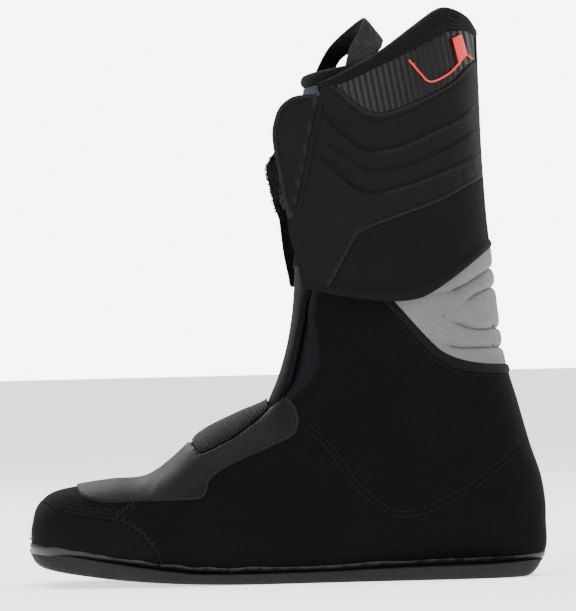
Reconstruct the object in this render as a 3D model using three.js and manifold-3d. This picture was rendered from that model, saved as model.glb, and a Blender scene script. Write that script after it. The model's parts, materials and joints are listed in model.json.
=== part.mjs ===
// Inner boot (liner) of an alpine ski boot, left foot. Millimetres, +Z up.
// The toe points along -Y, the heel along +Y, and +X is the outer (lateral) side of the foot.
// The origin is on the flat of the outsole, at mid-length.

import * as THREE from "three";
import { mergeVertices } from "three/addons/utils/BufferGeometryUtils.js";
import Module from "manifold-3d";

const wasm = await Module();
wasm.setup();

// ---------------------------------------------------------------- driving sizes

const bootLength = 284; // tip of the sole to the back of the heel
const bootHeight = 311; // flat of the sole to the top of the collar
const forefootWidth = 102; // over the upper at the ball of the foot

const skin = 1.4; // outer cloth of the lower
const lowerFoam = 3.2; // padding between cloth and lining
const lining = 1.0; // inner cloth
const counterBoard = 1.2; // plastic boards moulded into heel and spoiler
const cuffSkin = 1.6; // outer cloth of the cuff
const cuffFoam = 7.0; // padding of the cuff
const overlay = 1.1; // pieces sewn on top of the outer cloth
const bindingStand = 1.6; // how far an edge binding stands off the cloth it closes
const flapThickness = 2.6;
const collarThickness = 13; // the padded roll, from outside to inside
const boardThickness = 2.0; // lasting board under the foot
const footbedThickness = 5.0;
const padThickness = 4.0; // ankle and heel pads on the inside
const flexPanelThickness = 5.0; // grooved foam over the Achilles tendon
const tongueCover = 1.4;
const shinPlate = 1.2;
const webbingThickness = 1.6;
const trimWidth = 1.8;
const bindingWidth = 4.5; // of the bindings beside the tongue
const spineHalfWidth = 13; // cloth strip down the back of the cuff
const gap = 0.3; // kept between neighbouring pieces

const ringPoints = 16; // corners of each cross-section

// Outlines below are drawn for a boot of these overall sizes and scaled to the sizes above.
const drawn = { length: 284, height: 311, width: 102 };
const lengthScale = bootLength / drawn.length;
const heightScale = bootHeight / drawn.height;
const widthScale = forefootWidth / drawn.width;
const farAway = 200;

const scaled = (points) => points.map(([y, z]) => [y * lengthScale, z * heightScale]);

// ---------------------------------------------------------------- side outlines, as (y, z)

const soleTop = scaled([
  [-146, 21.5], [-126, 19.5], [-105, 15.9], [-84, 12.2], [-63, 8.9], [-42, 6.6],
  [7, 6.3], [65, 7.6], [114, 8.3], [144, 10.3],
]);
const soleBottom = scaled([
  [-146, 18.6], [-141, 17.4], [-136, 12.2], [-126, 9.2], [-105, 6.0], [-84, 3.6], [-53, 1.2], [-21, 0],
  [124, 0], [134, 1.4], [141, 8.2], [146, 8.6],
]);
const toeSeam = scaled([
  [-146, 52], [-134, 48], [-124, 42.7], [-108, 39], [-92, 36.4], [-82, 31.8], [-75, 24],
  [-70, 15.5], [-68, 5],
]);
const vampEdge = scaled([
  [-92, 36.4], [-77, 49], [-46, 51], [-44, 58], [-31, 69], [-6, 79], [2, 84], [4, 92],
  [0, 97], [-9, 99], [-9, 130],
]);
const overlayOutline = scaled([
  [-114, 66], [-114, 54.1], [-110, 49.3], [-102, 46.9], [-77, 46.6], [-44, 48], [-42, 51.8],
  [-40, 57.8], [-29, 65.3], [-5, 75.4], [4.4, 79.9], [8.4, 86.4], [7.5, 95.2], [3, 101],
  [-1.8, 98.7], [-7.3, 95], [-12, 90], [-27, 79.3], [-45, 71], [-51.4, 77], [-60, 84],
]);
const goreOutline = scaled([
  [-51.2, 80], [-47, 73.6], [-43, 72.6], [-27, 80.8], [-12, 91.6], [-8, 95.4], [-9, 110], [-51, 110],
]);
const throatEdge = scaled([
  [1.5, 99.5], [6.7, 104.5], [11.7, 109.4], [15.7, 116.5], [16.9, 124], [16.1, 134],
  [14.9, 146], [17, 156], [19.5, 165],
]);
const neckTop = scaled([[19.5, 165], [48, 165]]);
const achillesEdge = scaled([
  [56, 158], [65.4, 147.8], [76.1, 135.4], [86.9, 124.7], [97.8, 119.8], [108.7, 117.6],
  [119.7, 116.8], [135, 116.2],
]);
const achillesBindingLow = scaled([
  [50, 158], [62.6, 144], [73.3, 131], [84, 120.5], [94.9, 114.6], [108.6, 112], [135, 111.2],
]);
const hemLow = scaled([
  [-8, 163], [12.3, 160.6], [27, 156.9], [43.5, 153.8], [60, 152.2], [73.8, 153.1], [83.8, 157.3],
  [98.9, 167.4], [110, 176], [126, 188],
]);
const hemHigh = scaled([
  [-8, 168], [13.5, 164.4], [27, 161], [49, 158.7], [63, 158.4], [73.9, 159.6], [82.2, 162.4],
  [99, 172.9], [114.7, 185.1], [126, 194],
]);
const panelLow = scaled([
  [20, 150], [27.7, 162], [37, 178.2], [42.7, 187.9], [49.9, 192.2], [72, 199.9], [88.8, 206.1],
  [106.6, 215.6], [120, 224],
]);
const panelTop = scaled([
  [10, 280], [24, 274], [34, 268], [46, 257.7], [55, 254.2], [65, 256.2], [82, 262.9], [96, 270.3],
  [106, 280], [120, 276],
]);
const rollLow = scaled([
  [15, 265.4], [22.2, 266], [39, 270.3], [54, 276.8], [70, 283.3], [86, 291], [96.4, 296], [120, 292],
]);
const rollHigh = scaled([
  [15, 269], [21, 270.6], [35.4, 277.2], [56.6, 287.5], [80, 302], [92.8, 309.8], [99, 311],
  [107, 307.8], [112, 300], [120, 297],
]);
const frontEdgeOuter = scaled([
  [11.8, 150], [11.8, 160.6], [9.4, 175], [5.8, 188], [4.6, 197.6],
]);
const frontEdgeInner = scaled([
  [6.6, 150], [6.2, 158.5], [2.3, 179], [0.3, 197.6],
]);
const flapSeam = scaled([[8.3, 198], [23.6, 264.8]]);
const flapEdgeOuter = scaled([
  [4.6, 198.2], [1.5, 215.8], [-2, 236.8], [-2.1, 247.8], [1.4, 258.2], [9.3, 264.2], [20.5, 265.2],
]);
const flapEdgeInner = scaled([
  [0.3, 198.2], [-3, 209.3], [-6.2, 225.9], [-4, 233], [1.5, 243], [8, 256], [20.5, 265.2],
]);
const trimLine = scaled([
  [72.6, 282], [80.8, 272.1], [84, 270.9], [88.7, 271.5], [99.9, 279.6],
]);
const trimTab = scaled([[97, 293], [102.2, 294.4], [105, 285.8], [100.6, 280.8]]);

// ---------------------------------------------------------------- the form inside everything

// Each station is a cross-section between a point on the front or top profile and one on the sole or
// back profile: half-width, sideways shift, and how square its front and back halves are.
const station = (front, back, half, shift, frontSquare, backSquare) => ({
  front: scaled([front])[0],
  back: scaled([back])[0],
  half: half * widthScale,
  shift: shift * widthScale,
  frontSquare,
  backSquare,
});

const lowerStations = [
  station([-139.2, 33], [-139.4, 22], 17, -6, 2.4, 2.4),
  station([-136.4, 44.5], [-137.4, 14.5], 31, -6, 2.4, 2.4),
  station([-128, 51.4], [-129.6, 12.0], 41, -5.5, 2.5, 2.5),
  station([-113, 54.8], [-114, 9.5], 47, -4, 2.5, 2.6),
  station([-95, 57.2], [-95, 6.5], 50.5, -2, 2.4, 2.8),
  station([-77, 58.6], [-74, 3.5], 51, 0, 2.3, 2.8),
  station([-63, 67], [-53, 0.5], 49, 1.2, 2.2, 2.8),
  station([-45, 82.2], [-29, -1], 46, 2.2, 2.1, 2.8),
  station([-25, 92], [0, -1], 42.5, 2.6, 2.1, 2.8),
  station([-10, 98.4], [32, -1], 40.5, 2.2, 2.2, 2.8),
  station([-4.5, 107], [66, 0], 39.5, 1.4, 2.4, 2.6),
  station([-0.5, 117], [104, 1], 39, 0.6, 2.6, 2.4),
  station([2, 126.5], [139, 9], 39, 0, 2.8, 2.3),
  station([4, 135], [143, 32], 39.5, 0, 3, 2.3),
  station([5.3, 143], [141.2, 53], 40.5, 0, 3, 2.3),
  station([6.3, 150], [135, 73], 42, 0, 3, 2.3),
  station([7, 157], [128.6, 97], 42.5, 0, 3, 2.3),
  station([7.5, 164], [123.2, 117], 42.5, 0, 3, 2.3),
  station([8, 172], [119.6, 145], 43, 0, 3, 2.3),
  station([8.6, 181], [117.2, 172], 43.5, 0, 3, 2.4),
  station([9, 190], [115.4, 190], 44, 0, 3, 2.4),
];

const cuffStations = [
  station([-10, 136], [121, 140], 47, 0, 4, 2.4),
  station([-11, 162], [116.6, 174], 47.6, 0, 4, 2.4),
  station([-12.5, 190], [114.4, 192], 48.6, 0, 4, 2.4),
  station([-13, 213], [113, 213], 49.6, 0, 4, 2.4),
  station([-12.5, 236], [111.9, 237], 50.6, 0, 4, 2.4),
  station([-9, 256], [111.4, 260], 51.6, 0, 4, 2.4),
  station([-4, 276], [110.9, 288], 52.4, 0, 4, 2.4),
  station([0, 296], [110.4, 318], 53, 0, 4, 2.4),
];

const toeRoomStarts = -95 * lengthScale; // forward of this the toe end is also set back by the inset
const toeTip = lowerStations[0].front[0];
const leastHalf = 2; // half-depth that the smallest section keeps under all the layers

function sectionRing(section, inset) {
  const { front, back, half, shift, frontSquare, backSquare } = section;
  const across = [back[0] - front[0], back[1] - front[1]];
  const reach = Math.hypot(...across);
  const along = [across[0] / reach, across[1] / reach];
  const depthHalf = Math.max(reach / 2 - inset, leastHalf);
  const middle = [(front[0] + back[0]) / 2, (front[1] + back[1]) / 2];
  const setBack = Math.max(0, (toeRoomStarts - middle[0]) / (toeRoomStarts - toeTip)) * inset;
  const ring = [];
  for (let i = 0; i < ringPoints; i++) {
    const angle = (-i / ringPoints) * 2 * Math.PI;
    const rise = Math.sin(angle);
    const power = 2 / (rise > 0 ? frontSquare : backSquare);
    const side = Math.sign(Math.cos(angle)) * Math.abs(Math.cos(angle)) ** power;
    const depth = -Math.sign(rise) * Math.abs(rise) ** power * depthHalf;
    ring.push([
      shift + side * (half - inset),
      middle[0] + along[0] * depth + setBack,
      middle[1] + along[1] * depth,
    ]);
  }
  return ring;
}

// Skins a list of rings of equal length into a closed solid with flat ends.
function skinRings(rings) {
  const size = rings[0].length;
  const positions = rings.flat(2);
  const faces = [];
  for (let r = 0; r + 1 < rings.length; r++) {
    for (let i = 0; i < size; i++) {
      const next = (i + 1) % size;
      const [a, b, c, d] = [r * size + i, r * size + next, (r + 1) * size + next, (r + 1) * size + i];
      const far = (p, q) => Math.hypot(...[0, 1, 2].map((k) => positions[3 * p + k] - positions[3 * q + k]));
      if (far(a, c) <= far(b, d)) faces.push(a, b, c, a, c, d);
      else faces.push(a, b, d, b, c, d);
    }
  }
  const ends = [
    [0, -1],
    [(rings.length - 1) * size, 1],
  ];
  for (const [first, turn] of ends) {
    for (let i = 1; 2 * i < size; i++) {
      const [a, b, c, d] = [i - 1, i, size - 1 - i, size - i].map((k) => first + k);
      if (turn > 0) faces.push(a, b, c, a, c, d);
      else faces.push(a, c, b, a, d, c);
    }
  }
  const geometry = new THREE.BufferGeometry();
  geometry.setAttribute("position", new THREE.Float32BufferAttribute(positions, 3));
  geometry.setIndex(faces);
  return geometry;
}

function toSolid(geometry) {
  const bare = new THREE.BufferGeometry();
  bare.setAttribute("position", geometry.getAttribute("position"));
  if (geometry.index) bare.setIndex(geometry.index);
  const merged = mergeVertices(bare, 1e-4);
  const solid = new wasm.Manifold(
    new wasm.Mesh({
      numProp: 3,
      vertProperties: Float32Array.from(merged.getAttribute("position").array),
      triVerts: Uint32Array.from(merged.index.array),
    }),
  );
  return solid;
}

function formSolid(stations) {
  const made = new Map();
  return (inset) => {
    if (!made.has(inset)) {
      made.set(inset, toSolid(skinRings(stations.map((s) => sectionRing(s, inset)))));
    }
    return made.get(inset);
  };
}
const lowerForm = formSolid(lowerStations);
const cuffForm = formSolid(cuffStations);
const lowerLayer = (outer, inner) => lowerForm(outer).subtract(lowerForm(inner));
const cuffLayer = (outer, inner) => cuffForm(outer).subtract(cuffForm(inner));

// ---------------------------------------------------------------- cutting tools

// A prism along X with the given side outline, between two x values.
function prism(outline, fromX = -farAway, toX = farAway) {
  const shape = new THREE.Shape(outline.map(([y, z]) => new THREE.Vector2(y, z)));
  const geometry = new THREE.ExtrudeGeometry(shape, { depth: toX - fromX, bevelEnabled: false });
  const [x, y, z] = [0, 1, 2].map((i) => new THREE.Vector3().setComponent(i, 1));
  geometry.applyMatrix4(new THREE.Matrix4().makeBasis(y, z, x));
  geometry.translate(fromX, 0, 0);
  return toSolid(geometry);
}

const reversed = (points) => [...points].reverse();
const lifted = (points, rise) => points.map(([y, z]) => [y, z + rise]);
const moved = (points, shift) => points.map(([y, z]) => [y + shift, z]);
const between = (low, high) => [...low, ...reversed(high)];
const above = (line, rise = 0) => between(
  lifted(line, rise),
  [[line[0][0], farAway * 2], [line[line.length - 1][0], farAway * 2]],
);
const below = (line, rise = 0) => between(
  [[line[0][0], -farAway], [line[line.length - 1][0], -farAway]],
  lifted(line, rise),
);

// A closed outline of the given width around an open line.
function strip(line, width) {
  const normals = line.map((point, i) => {
    const before = line[Math.max(i - 1, 0)];
    const after = line[Math.min(i + 1, line.length - 1)];
    const [dy, dz] = [after[0] - before[0], after[1] - before[1]];
    const size = Math.hypot(dy, dz);
    return [-dz / size, dy / size];
  });
  const side = (sign) => line.map(([y, z], i) => [
    y + (sign * normals[i][0] * width) / 2,
    z + (sign * normals[i][1] * width) / 2,
  ]);
  return between(side(-1), side(1));
}

const outerHalf = (solid, edge = gap / 2) => solid.intersect(prism(wholeSide, edge, farAway));
const innerHalf = (solid, edge = gap / 2) => solid.intersect(prism(wholeSide, -farAway, -edge));
const wholeSide = [[-farAway, -farAway], [farAway, -farAway], [farAway, farAway * 2], [-farAway, farAway * 2]];

// ---------------------------------------------------------------- the group of named pieces

const liner = new THREE.Group();
const looks = {
  neoprene: ["#101211", 0.9],
  mesh: ["#191a1a", 0.95],
  polyurethane: ["#343435", 0.55],
  twill: ["#242424", 0.85],
  knit: ["#161614", 0.95],
  carbon: ["#2b2c2e", 0.6],
  binding: ["#0d0d0d", 0.8],
  sole: ["#262628", 0.85],
  glue: ["#2e2e31", 0.5],
  foam: ["#3a3d40", 0.95],
  greyFoam: ["#a7aaa8", 0.8],
  fleece: ["#1e2022", 1.0],
  plastic: ["#202226", 0.45],
  red: ["#f04b46", 0.5],
  tongueCloth: ["#4b555c", 0.8],
  gusset: ["#1e2028", 0.9],
  webbing: ["#17181a", 0.85],
  hook: ["#0c0c0d", 0.9],
};

function add(name, solid, look) {
  const mesh = solid.getMesh();
  const geometry = new THREE.BufferGeometry();
  geometry.setAttribute("position", new THREE.Float32BufferAttribute(Array.from(mesh.vertProperties), 3));
  geometry.setIndex(Array.from(mesh.triVerts));
  const [color, roughness] = looks[look];
  const piece = new THREE.Mesh(
    geometry,
    new THREE.MeshStandardMaterial({ color, roughness, metalness: 0 }),
  );
  piece.name = name;
  liner.add(piece);
}

function addBothSides(name, make, look) {
  add(`${name}_lateral`, outerHalf(make), look);
  add(`${name}_medial`, innerHalf(make), look);
}

// ---------------------------------------------------------------- sole and footbed

const plan = [
  [-141.6, 6, -6], [-139, 19, -6], [-133, 31, -5.8], [-122, 40, -5], [-104, 46.5, -3], [-82, 48.8, -0.5],
  [-62, 47, 1], [-42, 42.5, 2], [-20, 38.5, 2.6], [5, 36, 2.6], [35, 34.8, 1.8], [70, 34.5, 1],
  [98, 33.5, 0.2], [118, 29.5, 0], [131, 22, 0], [138, 13, 0], [140.8, 5, 0],
].map(([y, half, shift]) => ({ y: y * lengthScale, half: half * widthScale, shift: shift * widthScale }));

function heightOn(line, y) {
  const next = line.findIndex((point) => point[0] >= y);
  const [before, after] = [line[next - 1], line[next]];
  return before[1] + ((after[1] - before[1]) * (y - before[0])) / (after[0] - before[0]);
}

// A slab under the whole foot whose side face stands in by edgeInset and is chamfered at the bottom.
function soleSlab(low, high, edgeInset, chamfer) {
  return toSolid(skinRings(plan.map(({ y, half, shift }) => {
    const wide = Math.max(half - edgeInset, 2);
    const slim = Math.max(wide - chamfer, 1);
    const [bottom, top] = [low(y), high(y)];
    const shoulder = bottom + Math.min(chamfer, (top - bottom) / 2);
    const inY = y * (1 - edgeInset / (bootLength / 2));
    return [
      [shift - slim, inY, bottom], [shift - wide, inY, shoulder], [shift - wide, inY, top],
      [shift + wide, inY, top], [shift + wide, inY, shoulder], [shift + slim, inY, bottom],
    ];
  })));
}

const treadHeight = (y) => heightOn(soleBottom, y);
const seatHeight = (y) => heightOn(soleTop, y);
add("outsole", soleSlab(treadHeight, (y) => seatHeight(y) - gap, 0, 2.2), "sole");

const onSole = prism(above(soleTop));
const boardTop = boardThickness + gap;
const footLevel = lifted(soleTop, boardTop);
const board = prism(between(soleTop, lifted(soleTop, boardThickness)));
add("lasting_board", lowerForm(skin + gap).intersect(board), "plastic");
const footbed = prism(between(footLevel, lifted(footLevel, footbedThickness)));
const foamInside = skin + gap + lowerFoam;
const liningInside = foamInside + gap + lining;
add("footbed", lowerForm(liningInside + gap).intersect(footbed), "foam");

const randTop = lifted(soleTop, 3.4);
const randWall = lowerLayer(-gap - overlay, -gap);
add("sole_rand", randWall.intersect(prism(between(soleTop, randTop))), "glue");

// ---------------------------------------------------------------- outer cloth of the lower

const vampEnd = -9 * lengthScale; // where the cloth over the instep stops and the tongue comes out
const lowerSide = (throat) => [
  [-farAway, -farAway], [-farAway, farAway], [vampEnd, farAway], [vampEnd, throat[0][1] - 4], ...throat,
  ...neckTop.slice(1), ...achillesBindingLow, [farAway, achillesBindingLow[6][1]], [farAway, -farAway],
];
const lowerReach = prism(lowerSide(throatEdge));
const seamCut = (line) => prism(strip(line, gap));
const toeZone = prism([
  [-farAway, -farAway], [-farAway, toeSeam[0][1]], ...toeSeam, [toeSeam[8][0], -farAway],
]);
const vampZone = prism([
  [-farAway, toeSeam[0][1]], ...toeSeam.slice(0, 5), ...vampEdge.slice(1), [-farAway, 130 * heightScale],
]);

const throatOnward = [...throatEdge, ...scaled([[22, 174]])];
const throatMiddle = moved(throatOnward, bindingWidth / 2);
const throatBand = prism(strip(moved(throatMiddle, -0.6), bindingWidth + 1.2));
const cloth = lowerLayer(0, skin).intersect(lowerReach).intersect(onSole).subtract(throatBand);
const cutCloth = cloth.subtract(seamCut(toeSeam)).subtract(seamCut(vampEdge));
add("toe_box", cutCloth.intersect(toeZone), "neoprene");
add("vamp_mesh", cutCloth.intersect(vampZone), "mesh");
addBothSides("quarter", cutCloth.subtract(toeZone).subtract(vampZone), "neoprene");

const sewnOn = lowerLayer(-gap - overlay, -gap);
add("vamp_overlay", sewnOn.intersect(prism(overlayOutline)), "polyurethane");
add("instep_gore", sewnOn.intersect(prism(goreOutline)), "knit");

const throatTape = lowerLayer(-bindingStand / 2, skin + bindingStand / 2)
  .intersect(prism(strip(throatMiddle, bindingWidth - 2 * gap)))
  .intersect(lowerReach)
  .subtract(prism(overlayOutline));
addBothSides("throat_binding", throatTape, "binding");

const collarBand = prism(between(lifted(achillesBindingLow, 2 * gap), achillesEdge));
const collarTape = lowerLayer(-bindingStand / 2, liningInside).intersect(collarBand);
add("lower_collar_binding", collarTape, "binding");

// ---------------------------------------------------------------- padding and lining of the lower

const bendLine = scaled([[-20, -40], [-10, 95], [-9, 130]]);
const heelLine = scaled([[72, -40], [84, 60], [92, 140], [94, 190]]);
const paddingSetback = 8; // the padding stops this far behind the edge of the throat
const innerReach = prism(lowerSide(moved(lifted(throatEdge, -3), paddingSetback)));
const aboveBoard = prism(above(footLevel));
const aheadOf = (line) => prism([
  [-farAway, line[0][1]], ...line, [-farAway, line[line.length - 1][1]],
]);
const padded = lowerLayer(skin + gap, foamInside).intersect(innerReach).intersect(aboveBoard);
const cutPadding = padded.subtract(seamCut(bendLine)).subtract(seamCut(heelLine));
const foreZone = aheadOf(bendLine);
const midZone = aheadOf(heelLine);
add("forefoot_padding", cutPadding.intersect(foreZone), "foam");
addBothSides("ankle_padding", cutPadding.intersect(midZone).subtract(foreZone), "foam");
const heelPart = cutPadding.subtract(midZone);
const counterInside = skin + gap + counterBoard;
add("heel_counter", heelPart.subtract(lowerForm(counterInside)), "plastic");
add("heel_padding", heelPart.intersect(lowerForm(counterInside + gap)), "foam");

const innerCloth = lowerLayer(foamInside + gap, liningInside).intersect(innerReach).intersect(aboveBoard);
add("lower_lining", innerCloth, "fleece");

const padLayer = lowerLayer(liningInside + gap, liningInside + gap + padThickness);
const anklePadOutline = scaled([
  [36, 62], [60, 52], [84, 60], [96, 80], [98, 104], [88, 112], [82, 96], [72, 84], [58, 82], [48, 92],
  [46, 112], [34, 110], [30, 84],
]);
addBothSides("ankle_pad", padLayer.intersect(prism(anklePadOutline)), "foam");
const heelPadOutline = scaled([[106, 62], [150, 62], [150, 106], [106, 106]]);
add("achilles_pad", padLayer.intersect(prism(heelPadOutline)), "foam");

// ---------------------------------------------------------------- flex panel over the heel tendon

const flexOutline = prism(between(
  [...lifted(achillesEdge, gap)].slice(1),
  lifted(hemLow.slice(5), -1.5 * gap),
));
const panelStart = 62 * lengthScale;
const behindPanelStart = prism([
  [panelStart, -farAway], [farAway, -farAway], [farAway, farAway * 2], [panelStart, farAway * 2],
]);
const flexPanel = lowerLayer(bindingStand, bindingStand + flexPanelThickness)
  .intersect(flexOutline).intersect(behindPanelStart);
add("achilles_flex_panel", flexPanel, "greyFoam");

// ---------------------------------------------------------------- cuff

const seamLine = [
  [flapSeam[0][0] - 4 * lengthScale, flapSeam[0][1] - 20 * heightScale], ...flapSeam,
  [flapSeam[1][0] + 2 * lengthScale, flapSeam[1][1] + 12 * heightScale],
];
const behindSeam = (shift) => prism([
  ...moved(seamLine, shift), [seamLine[3][0] + shift, farAway * 2], [farAway, farAway * 2],
  [farAway, seamLine[0][1]],
]);
const cuffFront = (edge) => [
  ...edge, [flapSeam[0][0], flapSeam[0][1]], ...moved([seamLine[2], seamLine[3]], gap),
  [farAway, seamLine[3][1] * 2], [farAway, edge[0][1]],
];
const cuffCloth = cuffLayer(0, cuffSkin);
const cuffReach = {
  lateral: prism(cuffFront(frontEdgeOuter), 0, farAway),
  medial: prism(cuffFront(frontEdgeInner), -farAway, 0),
};
const bothReach = cuffReach.lateral.add(cuffReach.medial);
const belowRoll = prism(below(rollLow, -gap));
const spineZone = prism([
  [70 * lengthScale, 0], [farAway, 0], [farAway, farAway * 2], [70 * lengthScale, farAway * 2],
], -spineHalfWidth, spineHalfWidth);
const spineGap = prism([
  [70 * lengthScale, 0], [farAway, 0], [farAway, farAway * 2], [70 * lengthScale, farAway * 2],
], -spineHalfWidth - gap, spineHalfWidth + gap);

const hemTop = lifted(hemHigh, gap);
const fromHem = prism(above(hemTop));
const lowBandZone = prism([
  ...panelLow, [farAway, panelLow[8][1]], [farAway, 0], [panelLow[0][0], 0],
]);
const topZone = prism(above(panelTop));
const allCloth = cuffCloth.intersect(bothReach).intersect(belowRoll).intersect(fromHem);
const cuffPanels = allCloth.subtract(seamCut(panelLow)).subtract(seamCut(panelTop));
add("cuff_spine", allCloth.intersect(spineZone), "twill");
const sidePanels = cuffPanels.subtract(spineGap);
addBothSides("cuff_lower_band", sidePanels.intersect(lowBandZone), "knit");
addBothSides("collar_side_panel", sidePanels.intersect(topZone), "carbon");
addBothSides("cuff_panel", sidePanels.subtract(lowBandZone).subtract(topZone), "twill");

const hem = cuffLayer(-bindingStand / 2, cuffSkin)
  .intersect(prism(between(hemLow, hemHigh)))
  .intersect(bothReach);
add("cuff_hem_binding", hem, "binding");

const rollBand = prism(between(rollLow, rollHigh));
const roll = cuffLayer(-bindingStand / 2, collarThickness - bindingStand / 2)
  .intersect(rollBand)
  .intersect(behindSeam(gap));
add("collar_roll", roll, "mesh");

const paddingFloor = scaled([[-farAway, 174], [68, 174], [84, 177], [100, 185], [116, 194], [farAway, 194]]);
const paddingReach = prism(between(
  paddingFloor,
  lifted([[-farAway, rollLow[0][1]], ...rollLow, [farAway, rollLow[7][1]]], -gap),
)).intersect(behindSeam(3));
const cuffInside = cuffSkin + gap + cuffFoam;
const rearLine = scaled([[74, 100], [74, 330]]);
const sideZone = aheadOf(rearLine);
const cuffPadding = cuffLayer(cuffSkin + gap, cuffInside).intersect(paddingReach).subtract(seamCut(rearLine));
addBothSides("cuff_padding", cuffPadding.intersect(sideZone), "foam");
const rearPart = cuffPadding.subtract(sideZone);
const spoilerInside = cuffSkin + gap + counterBoard;
add("spoiler_board", rearPart.subtract(cuffForm(spoilerInside)), "plastic");
add("rear_cuff_padding", rearPart.intersect(cuffForm(spoilerInside + gap)), "foam");
const cuffLining = cuffLayer(cuffInside + gap, cuffInside + gap + lining).intersect(paddingReach);
add("cuff_lining", cuffLining, "fleece");

const raised = cuffLayer(-gap - overlay, -gap);
addBothSides("collar_trim", raised.intersect(prism(strip(trimLine, trimWidth))).subtract(spineGap), "red");
addBothSides("collar_tab", raised.intersect(prism(trimTab)).subtract(spineGap), "red");

// ---------------------------------------------------------------- flaps over the tongue

const flap = (edge) => cuffLayer(0, flapThickness).intersect(prism([
  ...moved(reversed(flapSeam), -gap), ...edge,
]));
add("flap_lateral", outerHalf(flap(flapEdgeOuter)), "twill");
add("flap_medial", innerHalf(flap(flapEdgeInner)), "twill");

const hookOutline = scaled([[3, 204], [-1.4, 212], [-4, 225], [-2.4, 231], [4, 240], [12, 240], [8, 214]]);
const hookPatch = cuffLayer(flapThickness + gap, flapThickness + gap + overlay).intersect(prism(hookOutline));
add("hook_patch", innerHalf(hookPatch), "hook");
const loopOutline = scaled([[8, 214], [4, 226], [3, 246], [9, 256], [17, 256], [16, 240], [12, 222]]);
add("loop_patch", outerHalf(raised.intersect(prism(loopOutline))), "knit");

// ---------------------------------------------------------------- tongue

// Each station is an arch: its foremost point, half-width, how far the wings reach back, padding, and how
// much the arch climbs towards the back.
const tongueStation = (y, z, half, wings, padding, climb) => ({
  y: y * lengthScale, z: z * heightScale, half: half * widthScale, wings: wings * lengthScale, padding, climb,
});
const tongueStations = [
  tongueStation(-7.4, 101, 21, 7, 3.5, 0.2),
  tongueStation(-3, 111, 24, 6, 4, 0.1),
  tongueStation(1.8, 126, 25.5, 4.5, 4.5, 0),
  tongueStation(5, 141, 27, 5, 5, 0),
  tongueStation(7, 157, 27.5, 7, 5.5, 0),
  tongueStation(8.4, 178, 30, 20, 7, 0),
  tongueStation(9.6, 205, 33.5, 30, 8, 0.05),
  tongueStation(11, 235, 34.5, 34, 8.5, 0.1),
  tongueStation(15, 270, 35, 36, 8.5, 0.16),
];
const archSteps = 10;
const leastWing = 1.5; // how far the inner layers still curve back where the wings are short

function archPoint({ y, z, half, wings, climb }, inset, step) {
  const angle = (step / archSteps - 0.5) * Math.PI;
  const back = inset + Math.max(wings - inset, leastWing) * (1 - Math.cos(angle));
  return [(half - inset) * Math.sin(angle), y + back, z + climb * back];
}

function archSolid(stations, outer, inner, firstStep = 0, lastStep = archSteps) {
  return toSolid(skinRings(stations.map((s) => {
    const ring = [];
    for (let i = firstStep; i <= lastStep; i++) ring.push(archPoint(s, outer(s), i));
    for (let i = lastStep; i >= firstStep; i--) ring.push(archPoint(s, inner(s), i));
    return ring;
  })));
}

const plateOuter = tongueCover + gap;
const foamOuter = plateOuter + shinPlate + gap;
const foamInner = (s) => foamOuter + s.padding;
add("tongue_cover", archSolid(tongueStations, () => 0, () => tongueCover), "tongueCloth");
const plateStations = tongueStations.slice(3, 8);
add("shin_plate", archSolid(plateStations, () => plateOuter, () => plateOuter + shinPlate, 2, 8), "plastic");
add("tongue_padding", archSolid(tongueStations, () => foamOuter, foamInner), "foam");
const tongueLiningOuter = (s) => foamInner(s) + gap;
const tongueLining = archSolid(tongueStations, tongueLiningOuter, (s) => tongueLiningOuter(s) + lining);
add("tongue_lining", tongueLining, "fleece");

const tongueTop = tongueStations[8];
const rollStation = (rise, swell) => ({
  ...tongueTop,
  y: tongueTop.y - swell,
  z: tongueTop.z + rise,
  half: tongueTop.half + swell,
  wings: tongueTop.wings + swell,
  thick: foamInner(tongueTop) + lining + swell * 2,
});
const tongueRollHeight = 8;
const tongueRoll = [
  rollStation(gap, 0), rollStation(tongueRollHeight * 0.35, 1), rollStation(tongueRollHeight * 0.7, 0.8),
  rollStation(tongueRollHeight, -1.5),
];
add("tongue_top_roll", archSolid(tongueRoll, () => 0, (s) => s.thick), "mesh");

// The wings end in a binding on each side.
const tongueDeep = (s) => foamInner(s) + gap + lining;
const edgeBindingWidth = 2.2;
const boundDepth = 2.5;
function wingBinding(sign) {
  return toSolid(skinRings(tongueStations.map((s) => {
    const corner = (inset, back) => [
      sign * (s.half - inset), s.y + s.wings + back, s.z + s.climb * (s.wings + back),
    ];
    const ring = [
      corner(0, gap), corner(boundDepth, gap),
      corner(boundDepth, gap + edgeBindingWidth), corner(0, gap + edgeBindingWidth),
    ];
    return sign > 0 ? reversed(ring) : ring;
  })));
}
add("tongue_binding_lateral", wingBinding(1), "binding");
add("tongue_binding_medial", wingBinding(-1), "binding");

const tongueSide = tongueStations.slice(0, 5).map((s) => [
  s.y + Math.max(s.wings + edgeBindingWidth, tongueDeep(s) + leastWing) + 3 * gap,
  s.z + s.climb * s.wings,
]);
const gussetDepth = skin + bindingStand / 2 + gap;
const gussetThickness = 1.2;
const gusset = lowerLayer(gussetDepth, gussetDepth + gussetThickness).intersect(prism([
  ...tongueSide, [throatEdge[7][0] + 5, tongueSide[4][1]], ...reversed(moved(throatEdge.slice(3, 7), 5)),
]));
addBothSides("tongue_gusset", gusset, "gusset");

// ---------------------------------------------------------------- pull loop

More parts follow.
